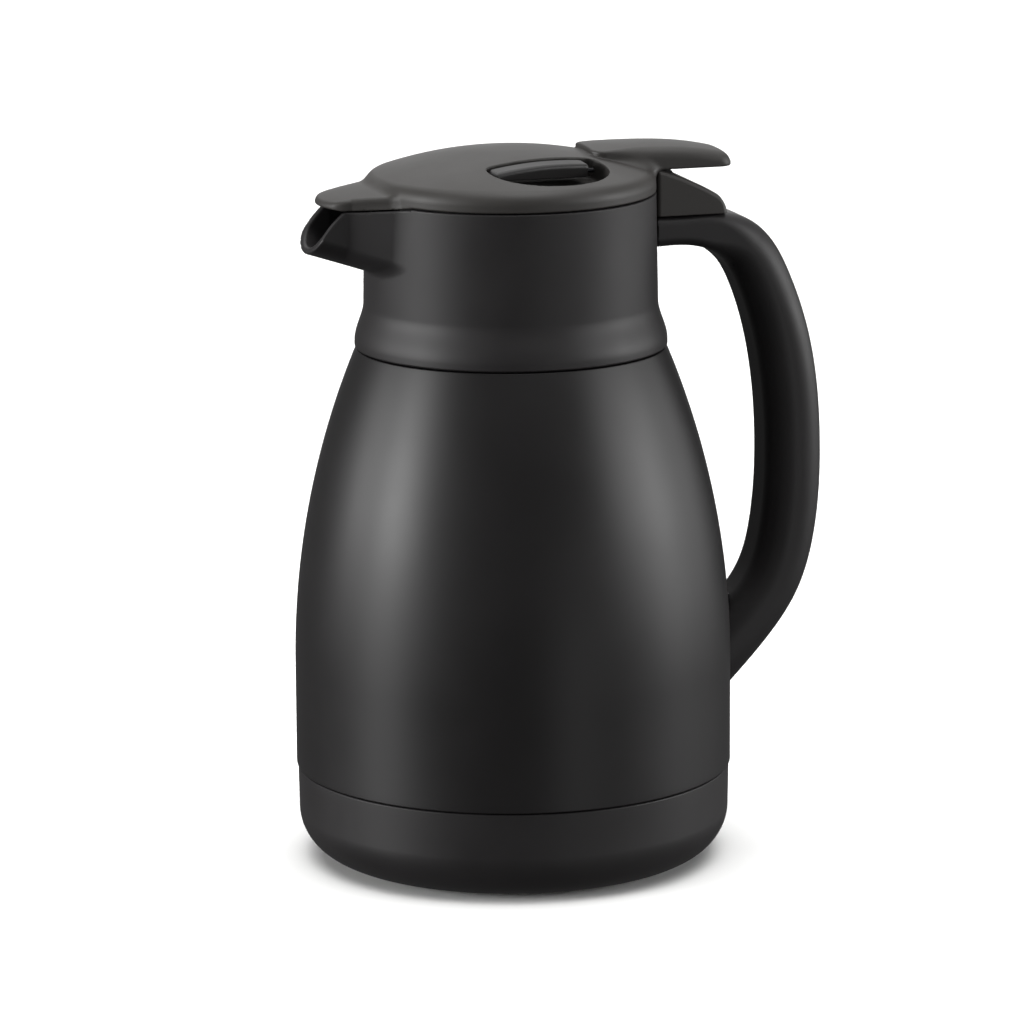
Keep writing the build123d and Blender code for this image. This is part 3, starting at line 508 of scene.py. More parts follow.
def make_base_cover(sizes):
    """Moulded base: rounded foot, slightly flared side, hollow inside with a rib ring, a well for the pad."""
    low, high, t = BASE_LOW.z, BASE_HIGH.z, BASE_WALL
    top_r, foot_r, pad_r = BASE_HIGH.x, BASE_HIGH.x - BASE_FLARE, PAD_HIGH.x + PAD_CLEAR
    under_z, inner_z = PAD_HIGH.z, PAD_HIGH.z + BASE_WEB
    corners = [
        (0, under_z, 0), (pad_r, under_z, 0), (pad_r, low, 0.4), (foot_r, low, sizes.foot_round), (top_r, high, 0.5),
        (top_r - t, high, 0.3), (foot_r - t, low + t, sizes.foot_round - t), (pad_r + t, low + t, 0),
        (pad_r, inner_z, 0), (RIB_OUTER_R, inner_z, 0), (RIB_OUTER_R, BOTTOM_Z, 0), (RIB_INNER_R, BOTTOM_Z, 0),
        (RIB_INNER_R, inner_z, 0), (0, inner_z, 0),
    ]
    cover = turned_piece("base_moulding", rounded_section(corners), finish("moulded_polypropylene_dark"), 256)
    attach(cover, "carafe")
    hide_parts("base_cover")


def make_foot_pad(sizes):
    """Rubber pad under the base, with its raised rim."""
    r, high, rim = PAD_HIGH.x, PAD_HIGH.z, PAD_RIM_RISE
    corners = [(0, rim, 0), (r - 7.0, rim, 0.3), (r - 6.5, 0.0, 0.3), (r, 0.0, 0.5), (r, high, 0.2), (0, high, 0)]
    pad = turned_piece("foot_pad", rounded_section(corners, 3.0), finish("black_rubber"), 160)
    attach(pad, "carafe")
    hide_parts("base_pad")


# ------------------------------------------------------------------ collar and spout
SPOUT_TIP_X, SPOUT_TIP_Z, SPOUT_RISE, SPOUT_WALL, SPOUT_BELLY = 68.6, 202.0, 0.331, 2.4, 7.5
SPOUT_LOW_HALF, SPOUT_TOP_HALF, SPOUT_FLARE_X = 12.2, 12.3, 57.5    # half widths beyond the flare, and its start
SPOUT_LOW_FLARE, SPOUT_TOP_FLARE, SPOUT_FLARE_EASE = 0.68, 0.72, 2.0
SPOUT_ROOT_X, SPOUT_WIDEST_X = 38.0, 39.5                           # the spout ends inside the collar's wall
FLARE_LOW_Z, WAIST_Z = 170.6, 183.2                                 # S-shaped flare between foot and wall
CAVITY_R, MOUTH_R, DECK_T = 44.4, 33.0, 2.5
UNDER_FOOT_R, UNDER_FOOT_Z, UNDER_LEAN, UNDER_R = 48.2, 171.0, 0.2459, 45.2
SLEEVE_OUTER_R, SLEEVE_INNER_R, SLEEVE_LOW_Z, SLEEVE_HIGH_Z = 43.0, 40.9, 181.0, 197.6
LUG_HALF, LUG_Z, LUG_HALF_T, LUG_END_X, LUG_START_X = 8.0, 204.45, 1.85, 64.0, 45.4
LIP_ARC = ((-68.9, 201.5), (-64.8, 209.3), (-57.8, 216.8))
RIM_DIP, RIM_DIP_HALF = 2.5, 25.0


def rim_drop(x, y):
    """How far the rim dips under the beak."""
    radius = (RIM_DIP_HALF ** 2 + RIM_DIP ** 2) / (2 * RIM_DIP)
    return np.maximum(RIM_DIP - y ** 2 / (2 * radius), 0) * smooth_step(-x, 33.0, 36.5)


def spout_half(x):
    """Half width of the spout's round bottom and of its rim at a distance from the axis."""
    flare = np.maximum(SPOUT_FLARE_X - x, 0)
    flare = flare ** 2 / (flare + SPOUT_FLARE_EASE)
    return SPOUT_LOW_HALF + SPOUT_LOW_FLARE * flare, SPOUT_TOP_HALF + SPOUT_TOP_FLARE * flare


def spout_shell(x, y, z, inset):
    """The spout as a U with an elliptical bottom; inset makes its channel."""
    reach = np.maximum(-x, SPOUT_WIDEST_X)
    low, top = spout_half(reach)
    low, top = low - inset, top - inset
    floor = SPOUT_TIP_Z - SPOUT_RISE * (SPOUT_TIP_X - reach) + inset
    if inset > 0:
        floor = np.maximum(floor, DECK_Z + 0.5)
    belly = floor + SPOUT_BELLY
    rise = np.clip((z - belly) / (LID_SEAM_Z - belly), 0, 1.2)
    side = np.abs(y) - (low + (top - low) * rise)
    drop = np.minimum(z - belly, 0)
    near, far = np.hypot(y / low, drop / SPOUT_BELLY), np.hypot(y / low ** 2, drop / SPOUT_BELLY ** 2)
    bottom = near * (near - 1) / np.maximum(far, 1e-6)
    return np.where(z > belly, side, bottom)


def collar_wall(x, y, z):
    """Foot, S-shaped flare and long slightly tapered wall of the collar."""
    r = np.hypot(x, y)
    waist = COLLAR_WAIST_R - (COLLAR_WAIST_R - COLLAR_TOP_R) * np.clip((z - WAIST_Z) / (LID_SEAM_Z - WAIST_Z), 0, 1)
    line = waist + (COLLAR_FOOT_R - COLLAR_WAIST_R) * (1 - smooth_step(z, FLARE_LOW_Z, WAIST_Z))
    return r - line


def collar_field(x, y, z):
    """Collar with its spout, pouring channel, deck and mouth."""
    sizes = lengths()
    r = np.hypot(x, y)
    centre, radius = circle_through(*LIP_ARC)
    spout = np.maximum(spout_shell(x, y, z, 0.0), x + SPOUT_ROOT_X)
    lip = np.hypot(x - centre[0], z - centre[1]) - radius
    fillet = sizes.spout_fillet * (0.5 + 0.5 * smooth_step(np.abs(y), 3.0, 14.0))
    body = joined(collar_wall(x, y, z), shared(spout, lip, 0.6), fillet)
    body = shared(body, z - (COLLAR_HIGH.z - rim_drop(x, y)), 0.5)
    body = shared(body, COLLAR_LOW.z - z, 0.5)
    channel = np.maximum(spout_shell(x, y, z, SPOUT_WALL), x + SPOUT_ROOT_X)
    hollow = np.maximum(r - CAVITY_R, DECK_Z - z)
    way = joined(hollow, channel, 3.0)
    body = shared(body, -way, 0.9)
    body = shared(body, MOUTH_R - r, 0.6)
    leaning = UNDER_FOOT_R - (z - UNDER_FOOT_Z) * UNDER_LEAN
    under_r = np.where(z < UNDER_FOOT_Z, UNDER_FOOT_R, np.where(z < WAIST_Z, leaning, UNDER_R))
    under = np.maximum(r - under_r, z - (DECK_Z - DECK_T))
    body = np.maximum(body, -under)
    sleeve = np.maximum(np.maximum(r - SLEEVE_OUTER_R, SLEEVE_INNER_R - r),
                        np.maximum(SLEEVE_LOW_Z - z, z - SLEEVE_HIGH_Z))
    lug = np.maximum(np.maximum(np.abs(y) - LUG_HALF, np.abs(z - LUG_Z) - LUG_HALF_T),
                     np.maximum(x - LUG_END_X, LUG_START_X - x))
    return np.minimum(np.minimum(body, sleeve), lug)


def make_collar(sizes):
    """Collar and spout in one moulding."""
    collar = piece_from_field("collar_with_spout", collar_field, (-71, -52, 167), (66, 52, 220.5), sizes.collar_step,
                              finish("moulded_polypropylene_dark"))
    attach(collar, "carafe")
    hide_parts("shoulder_collar")


# ------------------------------------------------------------------ lid, beak and lever
DOME_DROP = LID_EDGE_Z - LID_TOP_Z
DOME_R = (LID_EDGE_ROUND ** 2 - (LID_R - LID_EDGE_ROUND) ** 2 - DOME_DROP ** 2) / (2 * DOME_DROP + 2 * LID_EDGE_ROUND)
DOME_Z = LID_TOP_Z - DOME_R
BEAK_CROWN = smooth_line(((34.0, 225.5), (45.0, 223.4), (50.0, 222.4), (55.0, 221.6), (58.5, 220.9), (61.5, 219.9),
                          (64.0, 218.9), (67.0, 217.4)), 4)
LEVER_CROWN = smooth_line(((21.5, 232.0), (25.0, 232.35), (31.0, 232.65), (38.0, 232.75), (47.0, 232.6),
                           (57.0, 231.9), (65.0, 230.7), (70.0, 229.6), (73.4, 228.7)), 5)
BEAK_NECK_X, BEAK_NECK_HALF, BEAK_NOSE_R, BEAK_TIP_X = 56.0, 12.6, 22.3, 64.1
BEAK_ACROSS_R, BEAK_FLARE, BEAK_CORNER, BEAK_ROOT_X = 80.0, 0.5, 3.2, 36.0
BEAK_LIFT, BEAK_LIFT_X = 1.1, 59.0      # the beak's low edge rises towards its tip
LID_WALL, BEAK_WALL = 2.2, 1.8
LEVER_FRONT_X, LEVER_END_X, LEVER_HALF, LEVER_LOW_Z = 24.6, 72.0, 12.2, 224.8
RECESS_SPOT, RECESS_TURN = (5.9, -28.0), 13.0
RECESS_MIDDLE, RECESS_HALVES = (0.5, 4.0), (20.4, 17.4)             # oval of the recess, along U and V
RECESS_BACK_V, RECESS_CORNER, RECESS_DEPTH, RECESS_FLOOR_Z = 10.2, 2.2, 7.6, 220.6
RECESS_WALL = 0.7
TAB_GAP, TAB_END_U, TAB_FRONT_V, TAB_DEPTH, TAB_SUNK = 0.9, 15.8, 3.0, 4.7, 0.3
TAB_PIN_R, TAB_PIN_HALF, TAB_PIN_SHIFT = 0.75, 18.0, 2.2    # radius, half length, and shift along the tab


def lid_dome(x, y, z, inset=0.0):
    """Dome, rounded edge and straight skirt of the lid."""
    r = np.hypot(x, y)
    reach = LID_R - LID_EDGE_ROUND
    lean = math.atan2(LID_EDGE_Z - DOME_Z, reach)
    out, up = r - reach, z - LID_EDGE_Z
    angle = np.arctan2(up, np.maximum(out, 1e-6))
    cap = np.hypot(r, z - DOME_Z) - DOME_R
    edge = np.hypot(out, up) - LID_EDGE_ROUND
    field = np.where(angle > lean, cap, np.where(up < 0, r - LID_R, edge))
    return np.where((out <= 0) & (up > 0), cap, np.where((out <= 0) & (up <= 0), r - LID_R, field)) + inset


def beak(x, y, z, inset=0.0):
    """Beak over the spout: crowned top, rounded nose, and sides that flare out to the spout's rim."""
    sizes = lengths()
    reach = -x
    crown = BEAK_CROWN(np.clip(reach, 34, 68)) - y ** 2 / (2 * BEAK_ACROSS_R)
    depth = np.clip((crown - z) / np.maximum(crown - LID_LOW.z, 1.0), 0, 1.2)
    top = BEAK_NECK_HALF + BEAK_FLARE * np.maximum(BEAK_NECK_X - reach, 0)
    foot = spout_half(reach)[1]
    half = top + np.maximum(foot - top, 0) * depth ** 3
    nose = np.hypot(reach - BEAK_TIP_X + BEAK_NOSE_R, y) - BEAK_NOSE_R
    plan = np.maximum(shared((np.abs(y) - half) * 0.9, nose, BEAK_CORNER), x + BEAK_ROOT_X)
    return shared(plan + inset, z - crown + inset, sizes.beak_edge)


def recess_axes():
    """Origin and axes of the finger recess: U along it, V across it, W square to the dome."""
    x, y = RECESS_SPOT
    z = DOME_Z + math.sqrt(DOME_R ** 2 - x ** 2 - y ** 2)
    w = Vector((x, y, z - DOME_Z)).normalized()
    u = (Vector((1, 0, 0)) - w * w.x).normalized()
    turn = Matrix.Rotation(math.radians(RECESS_TURN), 3, "Z")
    u, w = turn @ u, turn @ w
    return np.array((x, y, z)), np.array(u), np.array(w.cross(u)), np.array(w)


def recess_plan(u, v):
    """Outline of the recess: half an oval, nearly straight at the back."""
    du, dv = u - RECESS_MIDDLE[0], v - RECESS_MIDDLE[1]
    half_u, half_v = RECESS_HALVES
    near, far = np.hypot(du / half_u, dv / half_v), np.hypot(du / half_u ** 2, dv / half_v ** 2)
    oval = near * (near - 1) / np.maximum(far, 1e-6)
    return shared(oval, v - RECESS_BACK_V + (u / 60) ** 2, RECESS_CORNER)


def recess_place(x, y, z):
    """Coordinates of a point along U, V and W of the recess."""
    origin, *axes = recess_axes()
    return [(x - origin[0]) * a[0] + (y - origin[1]) * a[1] + (z - origin[2]) * a[2] for a in axes]


def finger_recess(x, y, z):
    """Deep recess down to just above the lid's inner plate, its bottom edge rounded."""
    u, v, w = recess_place(x, y, z)
    plan = recess_plan(u, v)
    return shared(plan, np.maximum(-RECESS_DEPTH - w, RECESS_FLOOR_Z - z), 1.2)


def lever(x, y, z):
    """Thumb lever: rounded plan, crowned top, flat underside beyond the lid; its front lies down on the dome."""
    sizes = lengths()
    middle, half = (LEVER_FRONT_X + LEVER_END_X) / 2, (LEVER_END_X - LEVER_FRONT_X) / 2
    plan = rounded_box(x - middle, y, half, LEVER_HALF, sizes.lever_corner)
    top = z - (LEVER_CROWN(np.clip(x, 21.5, 73.4)) - 0.8 * (y / LEVER_HALF) ** 2)
    body = shared(plan, top, 0.8 + (sizes.lever_edge - 0.8) * smooth_step(x, 27.0, 45.0))
    return shared(body, LEVER_LOW_Z - z, 0.6)


def lid_field(x, y, z):
    """Lid moulding: dome, beak, lever and hinge knuckle in one skin."""
    sizes = lengths()
    top = joined(lid_dome(x, y, z), beak(x, y, z), sizes.beak_fillet)
    low = LID_LOW.z + RIM_DIP - rim_drop(x, y)
    low = low + BEAK_LIFT * np.clip((-x - BEAK_LIFT_X) / (BEAK_TIP_X - BEAK_LIFT_X), 0, 1.5)
    hollow = joined(lid_dome(x, y, z, LID_WALL), beak(x, y, z, BEAK_WALL), 2.0)
    above = joined(lever(x, y, z), top, 0.5 + sizes.lever_fillet * smooth_step(x, 29.0, 42.0))
    body = shared(above, low - z, 0.35)
    knuckle = np.maximum(np.hypot(x - PIN_X, z - PIN_Z) - 3.0, np.abs(y) - 6.0)
    bridge = np.maximum(np.maximum(45.6 - x, x - PIN_X), np.maximum(np.abs(y) - 6.0, np.abs(z - 221.5) - 2.6))
    near = (np.abs(x - RECESS_SPOT[0]) < 28) & (np.abs(y - RECESS_SPOT[1]) < 20) & (z > 218)
    recess = np.full(np.broadcast_shapes(np.shape(x), np.shape(y), np.shape(z)), 30.0)
    full = [np.broadcast_to(a, recess.shape)[np.broadcast_to(near, recess.shape)] for a in (x, y, z)]
    recess[np.broadcast_to(near, recess.shape)] = finger_recess(*full)
    body = np.maximum(body, -np.maximum(hollow, RECESS_WALL - recess))
    body = shared(body, -recess, 0.45)
    body = np.minimum(body, np.minimum(knuckle, bridge))
    return np.maximum(body, 1.55 - np.hypot(x - PIN_X, z - PIN_Z))


def make_lid(sizes):
    lid = piece_from_field("lid_moulding", lid_field, (-66, -48.6, 214.5), (73.6, 48.6, 235), sizes.lid_step,
                           finish("moulded_polypropylene_warm"))
    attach(lid, "lid")
    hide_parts("lid_cover", "thumb_lever")


def tab_field(x, y, z):
    """Release tab: bar with a rounded ridge that fills the far side of the recess."""
    u, v, w = recess_place(x, y, z)
    plan = shared(recess_plan(u, v) + TAB_GAP, u - TAB_END_U, 2.0)
    top = np.hypot(np.hypot(x, y), z - DOME_Z) - DOME_R + TAB_SUNK
    bar = shared(shared(plan, TAB_FRONT_V - v, 1.4), top, 1.5)
    return shared(bar, -TAB_DEPTH - w, 0.4)


def make_tab(sizes):
    """Release tab in its recess."""
    low, high = np.array(TAB_LOW) - 1.5, np.array(TAB_HIGH) + 1.5
    tab = piece_from_field("release_tab_bar", tab_field, low, high, sizes.tab_step, finish("moulded_acetal_tab"))
    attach(tab, "tab")
    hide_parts("release_tab")


def tab_pin_field(x, y, z):
    """Pin the tab rocks on: it shows between the tab and the recess's wall at one end and stops inside the tab."""
    middle = (np.array(TAB_PIN_LOW) + np.array(TAB_PIN_HIGH)) / 2
    axis = recess_axes()[1]
    gap = x - middle[0], y - middle[1], z - middle[2]
    along = sum(g * a for g, a in zip(gap, axis))
    away = np.sqrt(np.maximum(sum(g * g for g in gap) - along ** 2, 1e-9))
    return shared(away - TAB_PIN_R, np.abs(along - TAB_PIN_SHIFT) - TAB_PIN_HALF, 0.15)


def make_tab_pin(sizes):
    """Pin of the release tab."""
    low, high = np.array(TAB_PIN_LOW) - 1.5, np.array(TAB_PIN_HIGH) + 1.5
    pin = piece_from_field("release_tab_pin", tab_pin_field, low, high, sizes.tab_step, finish("blackened_steel"))
    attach(pin, "lid")
    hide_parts("tab_pin")


# ------------------------------------------------------------------ handle and hinge block
HANDLE_STATIONS = (
    (46.4, 204.45, 10.1), (58.0, 204.4, 10.2), (67.0, 203.3, 13.0), (77.2, 197.8, 16.4), (84.6, 185.8, 17.6),
    (90.9, 166.0, 18.6), (94.6, 132.0, 19.0), (92.9, 103.2, 19.0), (87.8, 85.5, 18.8), (78.5, 72.3, 19.2),
    (65.6, 59.0, 20.0),
)
ARM_TOP_Z, BLOCK_END_X = 209.5, 70.2


def handle_path():
    """Fine points along the handle's middle line with thickness, width and corner radius."""
    points = np.array(HANDLE_STATIONS, float)
    runs = np.concatenate([[0], np.cumsum(np.hypot(*np.diff(points[:, :2], axis=0).T))])
    fine = np.linspace(0, runs[-1], 700)
    columns = [natural_spline(runs, points[:, i], fine) for i in range(3)]
    grip = smooth_step(fine, runs[2], runs[4])
    wide = 24.8 + 0.8 * grip
    corner = 3.2 + 5.4 * smooth_step(fine, runs[1] + 5, runs[3] + 4)
    return np.array(columns[:2]).T, columns[2], wide, corner


def natural_spline(xs, ys, at):
    """Natural cubic spline through points, read at new places."""
    n = len(xs)
    gaps, bends = np.diff(xs), np.zeros(n)
    rows, right = np.eye(n), np.zeros(n)
    for i in range(1, n - 1):
        rows[i, i - 1:i + 2] = gaps[i - 1], 2 * (gaps[i - 1] + gaps[i]), gaps[i]
        right[i] = 6 * ((ys[i + 1] - ys[i]) / gaps[i] - (ys[i] - ys[i - 1]) / gaps[i - 1])
    bends = np.linalg.solve(rows, right)
    k = np.clip(np.searchsorted(xs, at) - 1, 0, n - 2)
    a, b = (xs[k + 1] - at) / gaps[k], (at - xs[k]) / gaps[k]
    return a * ys[k] + b * ys[k + 1] + ((a ** 3 - a) * bends[k] + (b ** 3 - b) * bends[k + 1]) * gaps[k] ** 2 / 6


HANDLE_PATH = handle_path()


def handle_section(x, z):
    """For each point of the middle plane: distance across the path, and the section's sizes there."""
    line, thick, wide, corner = HANDLE_PATH
    shape = np.broadcast_shapes(np.shape(x), np.shape(z))
    px, pz = (np.broadcast_to(a, shape).ravel() for a in (x, z))
    across = np.empty(px.size)
    spot = np.empty(px.size)
    tangents = np.gradient(line, axis=0)
    tangents /= np.linalg.norm(tangents, axis=1)[:, None]
    for start in range(0, px.size, 20000):
        part = slice(start, start + 20000)
        dx, dz = px[part, None] - line[None, :, 0], pz[part, None] - line[None, :, 1]
        k = np.argmin(dx * dx + dz * dz, axis=1)
        rows = np.arange(len(k))
        t = tangents[k]
        ahead = dx[rows, k] * t[:, 0] + dz[rows, k] * t[:, 1]
        spot[part] = k + ahead / 0.33
        across[part] = dx[rows, k] * -t[:, 1] + dz[rows, k] * t[:, 0]
    sizes = [np.interp(spot, np.arange(len(thick)), column) for column in (thick, wide, corner)]
    return [a.reshape(shape) for a in (across, *sizes)]


def handle_field(x, y, z):
    """Handle: arm under the hinge block, then the full rounded grip down to the wall."""
    across, thick, wide, corner = handle_section(x, z)
    body = rounded_box(across, y, thick / 2, wide / 2, np.minimum(corner, thick / 2 - 0.1))
    r = np.hypot(x, y)
    seat = np.maximum(ARM_TOP_Z - z, x - BLOCK_END_X)
    body = shared(body, -seat, 0.5)
    body = shared(body, COLLAR_TOP_R + 0.4 - r, 0.4)
    body = np.maximum(body, x - HANDLE_HIGH.x + 0.02)
    lean = BODY_R - TAPER_R + np.sqrt(TAPER_R ** 2 - np.clip(z - SHOULDER_Z, 0, 105) ** 2)
    wall = np.where(z < COLLAR_SEAM_Z, lean + 0.2 - r, -50)
    return shared(body, wall, 0.5)


def make_handle(sizes):
    """Handle and its liner in one moulding."""
    handle = piece_from_field("handle_moulding", handle_field, (45, -14.6, 46), (106, 14.6, 214), sizes.handle_step,
                              finish("moulded_polypropylene_dark"))
    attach(handle, "carafe")
    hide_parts("handle_shell", "handle_liner")


def block_field(x, y, z):
    """Hinge block: rounded slope, soft upright edges, slot for the knuckle and groove for the pin."""
    sizes = lengths()
    centre, radius = circle_through((47.9, 224.4), (58.2, 220.4), (68.7, 214.6))
    slope = np.hypot(x - centre[0], z - centre[1]) - radius
    end = ((x - 68.7) * 5.0 + (z - 214.6) * 1.3) / math.hypot(5.0, 1.3)
    front = LID_R + 0.2 - np.hypot(x, y)
    side = shared(shared(slope, end, 2.2), front, 1.4)
    body = shared(side, np.abs(y) - 12.4, sizes.block_edge)
    upright = shared(np.maximum(front, end), np.abs(y) - 12.4, sizes.block_corner)
    body = np.maximum(body, upright)
    body = shared(body, BLOCK_LOW.z - z, 0.25)
    slot = np.maximum(np.maximum(x - PIN_X - 3.6, np.abs(y) - 6.3), PIN_Z - 3.6 - z)
    seat = np.maximum(np.hypot(x - PIN_X, z - PIN_Z) - 1.55, np.abs(y) - 10.2)
    way = np.maximum(np.maximum(np.abs(x - PIN_X) - 1.55, np.abs(y) - 10.2), PIN_Z - z)
    return np.maximum(body, -np.minimum(slot, np.minimum(seat, way)))


def make_block(sizes):
    """Hinge block behind the lid."""
    block = piece_from_field("hinge_block_moulding", block_field, (44.9, -14, 208), (70.6, 14, 226), sizes.block_step,
                             finish("moulded_polypropylene_warm"))
    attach(block, "carafe")
    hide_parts("hinge_block")


# ------------------------------------------------------------------ stage
CAMERA_SPOT = (-0.5003, -1.6890, 0.4975)    # metres
CAMERA_TURN, CAMERA_PITCH, CAMERA_ROLL = 16.5, 12.313, -0.344
CAMERA_LENS = 194.8
SOFT_EDGE = 5.0                         # degrees over which the room's windows fade


def soft_box(name, place, aim, width, height, power):
    """Rectangular soft box that faces a point, in metres and watts."""
    light = bpy.data.lights.new(name, "AREA")
    light.shape = "RECTANGLE"
    light.size, light.size_y, light.energy = width, height, power
    lamp = bpy.data.objects.new(name, light)
    bpy.context.scene.collection.objects.link(lamp)
    lamp.location = place
    lamp.rotation_euler = (Vector(aim) - Vector(place)).to_track_quat("-Z", "Y").to_euler()
    return lamp


def bright_window(tree, direction, height, azimuth, half, low, high, level):
    """Brightness of a soft-edged box in the room, by its azimuth from the camera and its elevations, in degrees."""
    turn = math.atan2(CAMERA_SPOT[1], CAMERA_SPOT[0]) + math.radians(azimuth)
    flat = add_node(tree, "ShaderNodeVectorMath", {1: (1, 1, 0)}, {0: direction}, operation="MULTIPLY")
    unit = add_node(tree, "ShaderNodeVectorMath", None, {0: flat.outputs[0]}, operation="NORMALIZE")
    facing = add_node(tree, "ShaderNodeVectorMath", {1: (math.cos(turn), math.sin(turn), 0)}, {0: unit.outputs[0]},
                      operation="DOT_PRODUCT")
    away = add_node(tree, "ShaderNodeMath", None, {0: facing.outputs["Value"]}, operation="ARCCOSINE")
    edge = SOFT_EDGE
    across = add_node(tree, "ShaderNodeMapRange", {
        "From Min": math.radians(half + edge), "From Max": math.radians(half - edge), "To Max": level},
        {"Value": away.outputs[0]}, interpolation_type="SMOOTHSTEP")
    foot = add_node(tree, "ShaderNodeMapRange", {
        "From Min": math.radians(low - edge), "From Max": math.radians(low + edge)}, {"Value": height},
        interpolation_type="SMOOTHSTEP")
    head = add_node(tree, "ShaderNodeMapRange", {
        "From Min": math.radians(high + edge), "From Max": math.radians(high - edge)}, {"Value": height},
        interpolation_type="SMOOTHSTEP")
    band = add_node(tree, "ShaderNodeMath", None, {0: foot.outputs[0], 1: head.outputs[0]}, operation="MULTIPLY")
    return add_node(tree, "ShaderNodeMath", None, {0: band.outputs[0], 1: across.outputs[0]},
                    operation="MULTIPLY").outputs[0]


def make_room(look):
    """Dark room with soft-edged windows at its sides, behind and overhead; straight ahead it looks pale.

    Each window is its azimuth and half width, its lowest and highest elevation, all in degrees, and its level.
    """
    world = bpy.data.worlds.new("studio_room")
    world.use_nodes = True
    bpy.context.scene.world = world
    tree = world.node_tree
    tree.nodes.clear()
    direction = add_node(tree, "ShaderNodeTexCoord").outputs["Generated"]
    rise = add_node(tree, "ShaderNodeSeparateXYZ", None, {0: direction}).outputs["Z"]
    height = add_node(tree, "ShaderNodeMath", None, {0: rise}, operation="ARCSINE").outputs[0]
    total = add_node(tree, "ShaderNodeValue").outputs[0]
    total.default_value = look.room_level
    for window in ((-70, 9, 4, 15, look.left_level), (-70, 9, 15, 26, look.left_high), (-98, 6, 2, 15, look.left_far),
                   (-72, 12, -20, -6, look.left_low), (-30, 30, 0, 14, look.left_front),
                   (92, 8, 4, 14, look.right_level), (73, 11, 4, 26, look.right_front),
                   (94, 11, -8, 4, look.right_low), (119, 12, -8, 14, look.right_far),
                   (180, 12, -8, 14, look.back_level), (180, 40, 26, 45, look.back_high),
                   (34, 9, -24, 0, look.front_right), (60, 60, 45, 100, look.top_right),
                   (180, 60, 45, 100, look.top_back), (0, 185, 66, 100, look.ceiling)):
        light = bright_window(tree, direction, height, *window)
        total = add_node(tree, "ShaderNodeMath", None, {0: total, 1: light}, operation="ADD").outputs[0]
    lit = add_node(tree, "ShaderNodeBackground", None, {"Strength": total})
    pale = add_node(tree, "ShaderNodeBackground", {"Color": linear("#fdfdfd")})
    seen = add_node(tree, "ShaderNodeLightPath").outputs["Is Camera Ray"]
    both = add_node(tree, "ShaderNodeMixShader", None, {0: seen, 1: lit.outputs[0], 2: pale.outputs[0]})
    add_node(tree, "ShaderNodeOutputWorld", None, {"Surface": both.outputs[0]})


def make_stage(look):
    """Pale floor with a light of its own, the room that lights the carafe, and the camera."""
    scene = bpy.context.scene
    scene.view_settings.view_transform = "Standard"
    bpy.ops.mesh.primitive_circle_add(vertices=96, radius=7.0, fill_type="NGON", location=(0, 0, 0))
    floor = bpy.context.object
    floor.name = "floor"
    surface, tree, place = new_surface("pale_studio_floor")
    shade = add_node(tree, "ShaderNodeTexNoise", {"Scale": 3.0, "Detail": 1.0}, {"Vector": place})
    tint = add_node(tree, "ShaderNodeValToRGB", None, {"Fac": shade.outputs["Fac"]})
    tint.color_ramp.elements[0].color = linear("#f8f8f7")
    tint.color_ramp.elements[1].color = linear("#fafaf9")
    diffuse = add_node(tree, "ShaderNodeBsdfPrincipled", {"Roughness": 0.9, "Specular IOR Level": 0.0},
                       {"Base Color": tint.outputs["Color"]})
    add_node(tree, "ShaderNodeOutputMaterial", None, {"Surface": diffuse.outputs["BSDF"]})
    floor.data.materials.append(surface)
    floor.visible_diffuse = floor.visible_glossy = floor.visible_shadow = False

    make_room(look)
    wash = soft_box("floor_wash", (0, 0, 2.0), (0, 0, 0), 2.6, 2.6, look.floor_wash)
    only_floor = bpy.data.collections.new("lit_by_floor_wash")
    only_floor.objects.link(floor)
    wash.light_linking.receiver_collection = only_floor

    lens = bpy.data.cameras.new("front_view")
    lens.lens = CAMERA_LENS
    lens.sensor_width = 36.0
    lens.clip_start, lens.clip_end = 0.05, 50
    camera = bpy.data.objects.new("front_view", lens)
    scene.collection.objects.link(camera)
    pitch, roll = math.radians(CAMERA_PITCH), math.radians(CAMERA_ROLL)
    turn = Matrix.Rotation(math.radians(-CAMERA_TURN), 3, "Z")
    level, tall = Vector((1, 0, 0)), Vector((0, math.sin(pitch), math.cos(pitch)))
    right = turn @ (level * math.cos(roll) + tall * math.sin(roll))
    upward = turn @ (tall * math.cos(roll) - level * math.sin(roll))
    camera.matrix_world = Matrix((right, upward, right.cross(upward))).transposed().to_4x4()
    camera.location = CAMERA_SPOT
    scene.camera = camera


# ------------------------------------------------------------------ carried-over CAD pieces
CAD_FINISHES = {
    "inner_flask": "brushed_stainless", "radiation_foil": "rolled_foil", "outer_bottom": "brushed_stainless",
    "vacuum_seal": "zinc_plated_steel", "neck_seal": "grey_silicone", "handle_bracket": "blackened_steel",
    "handle_screw": "zinc_plated_steel", "arm_screws": "zinc_plated_steel", "hinge_pin": "zinc_plated_steel",
    "lid_plate": "moulded_polypropylene_warm", "lever_screws": "zinc_plated_steel", "plug_body": "plug_polypropylene",
    "plug_foam": "bead_foam", "plug_screws": "zinc_plated_steel", "plug_gasket": "grey_silicone",
    "tab_pin": "blackened_steel", "outer_shell": "satin_enamel_on_steel", "base_cover": "moulded_polypropylene_dark",
    "base_pad": "black_rubber", "shoulder_collar": "moulded_polypropylene_dark",
    "handle_shell": "moulded_polypropylene_dark", "handle_liner": "moulded_polypropylene_dark",
    "hinge_block": "moulded_polypropylene_warm", "lid_cover": "moulded_polypropylene_warm",
    "thumb_lever": "moulded_polypropylene_warm", "release_tab": "moulded_acetal_tab",
}


def dress_cad_pieces(sizes):
    """Gives every CAD node its finish."""
    for node, name in CAD_FINISHES.items():
        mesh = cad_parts[node].data
        mesh.materials.clear()
        mesh.materials.append(finish(name))


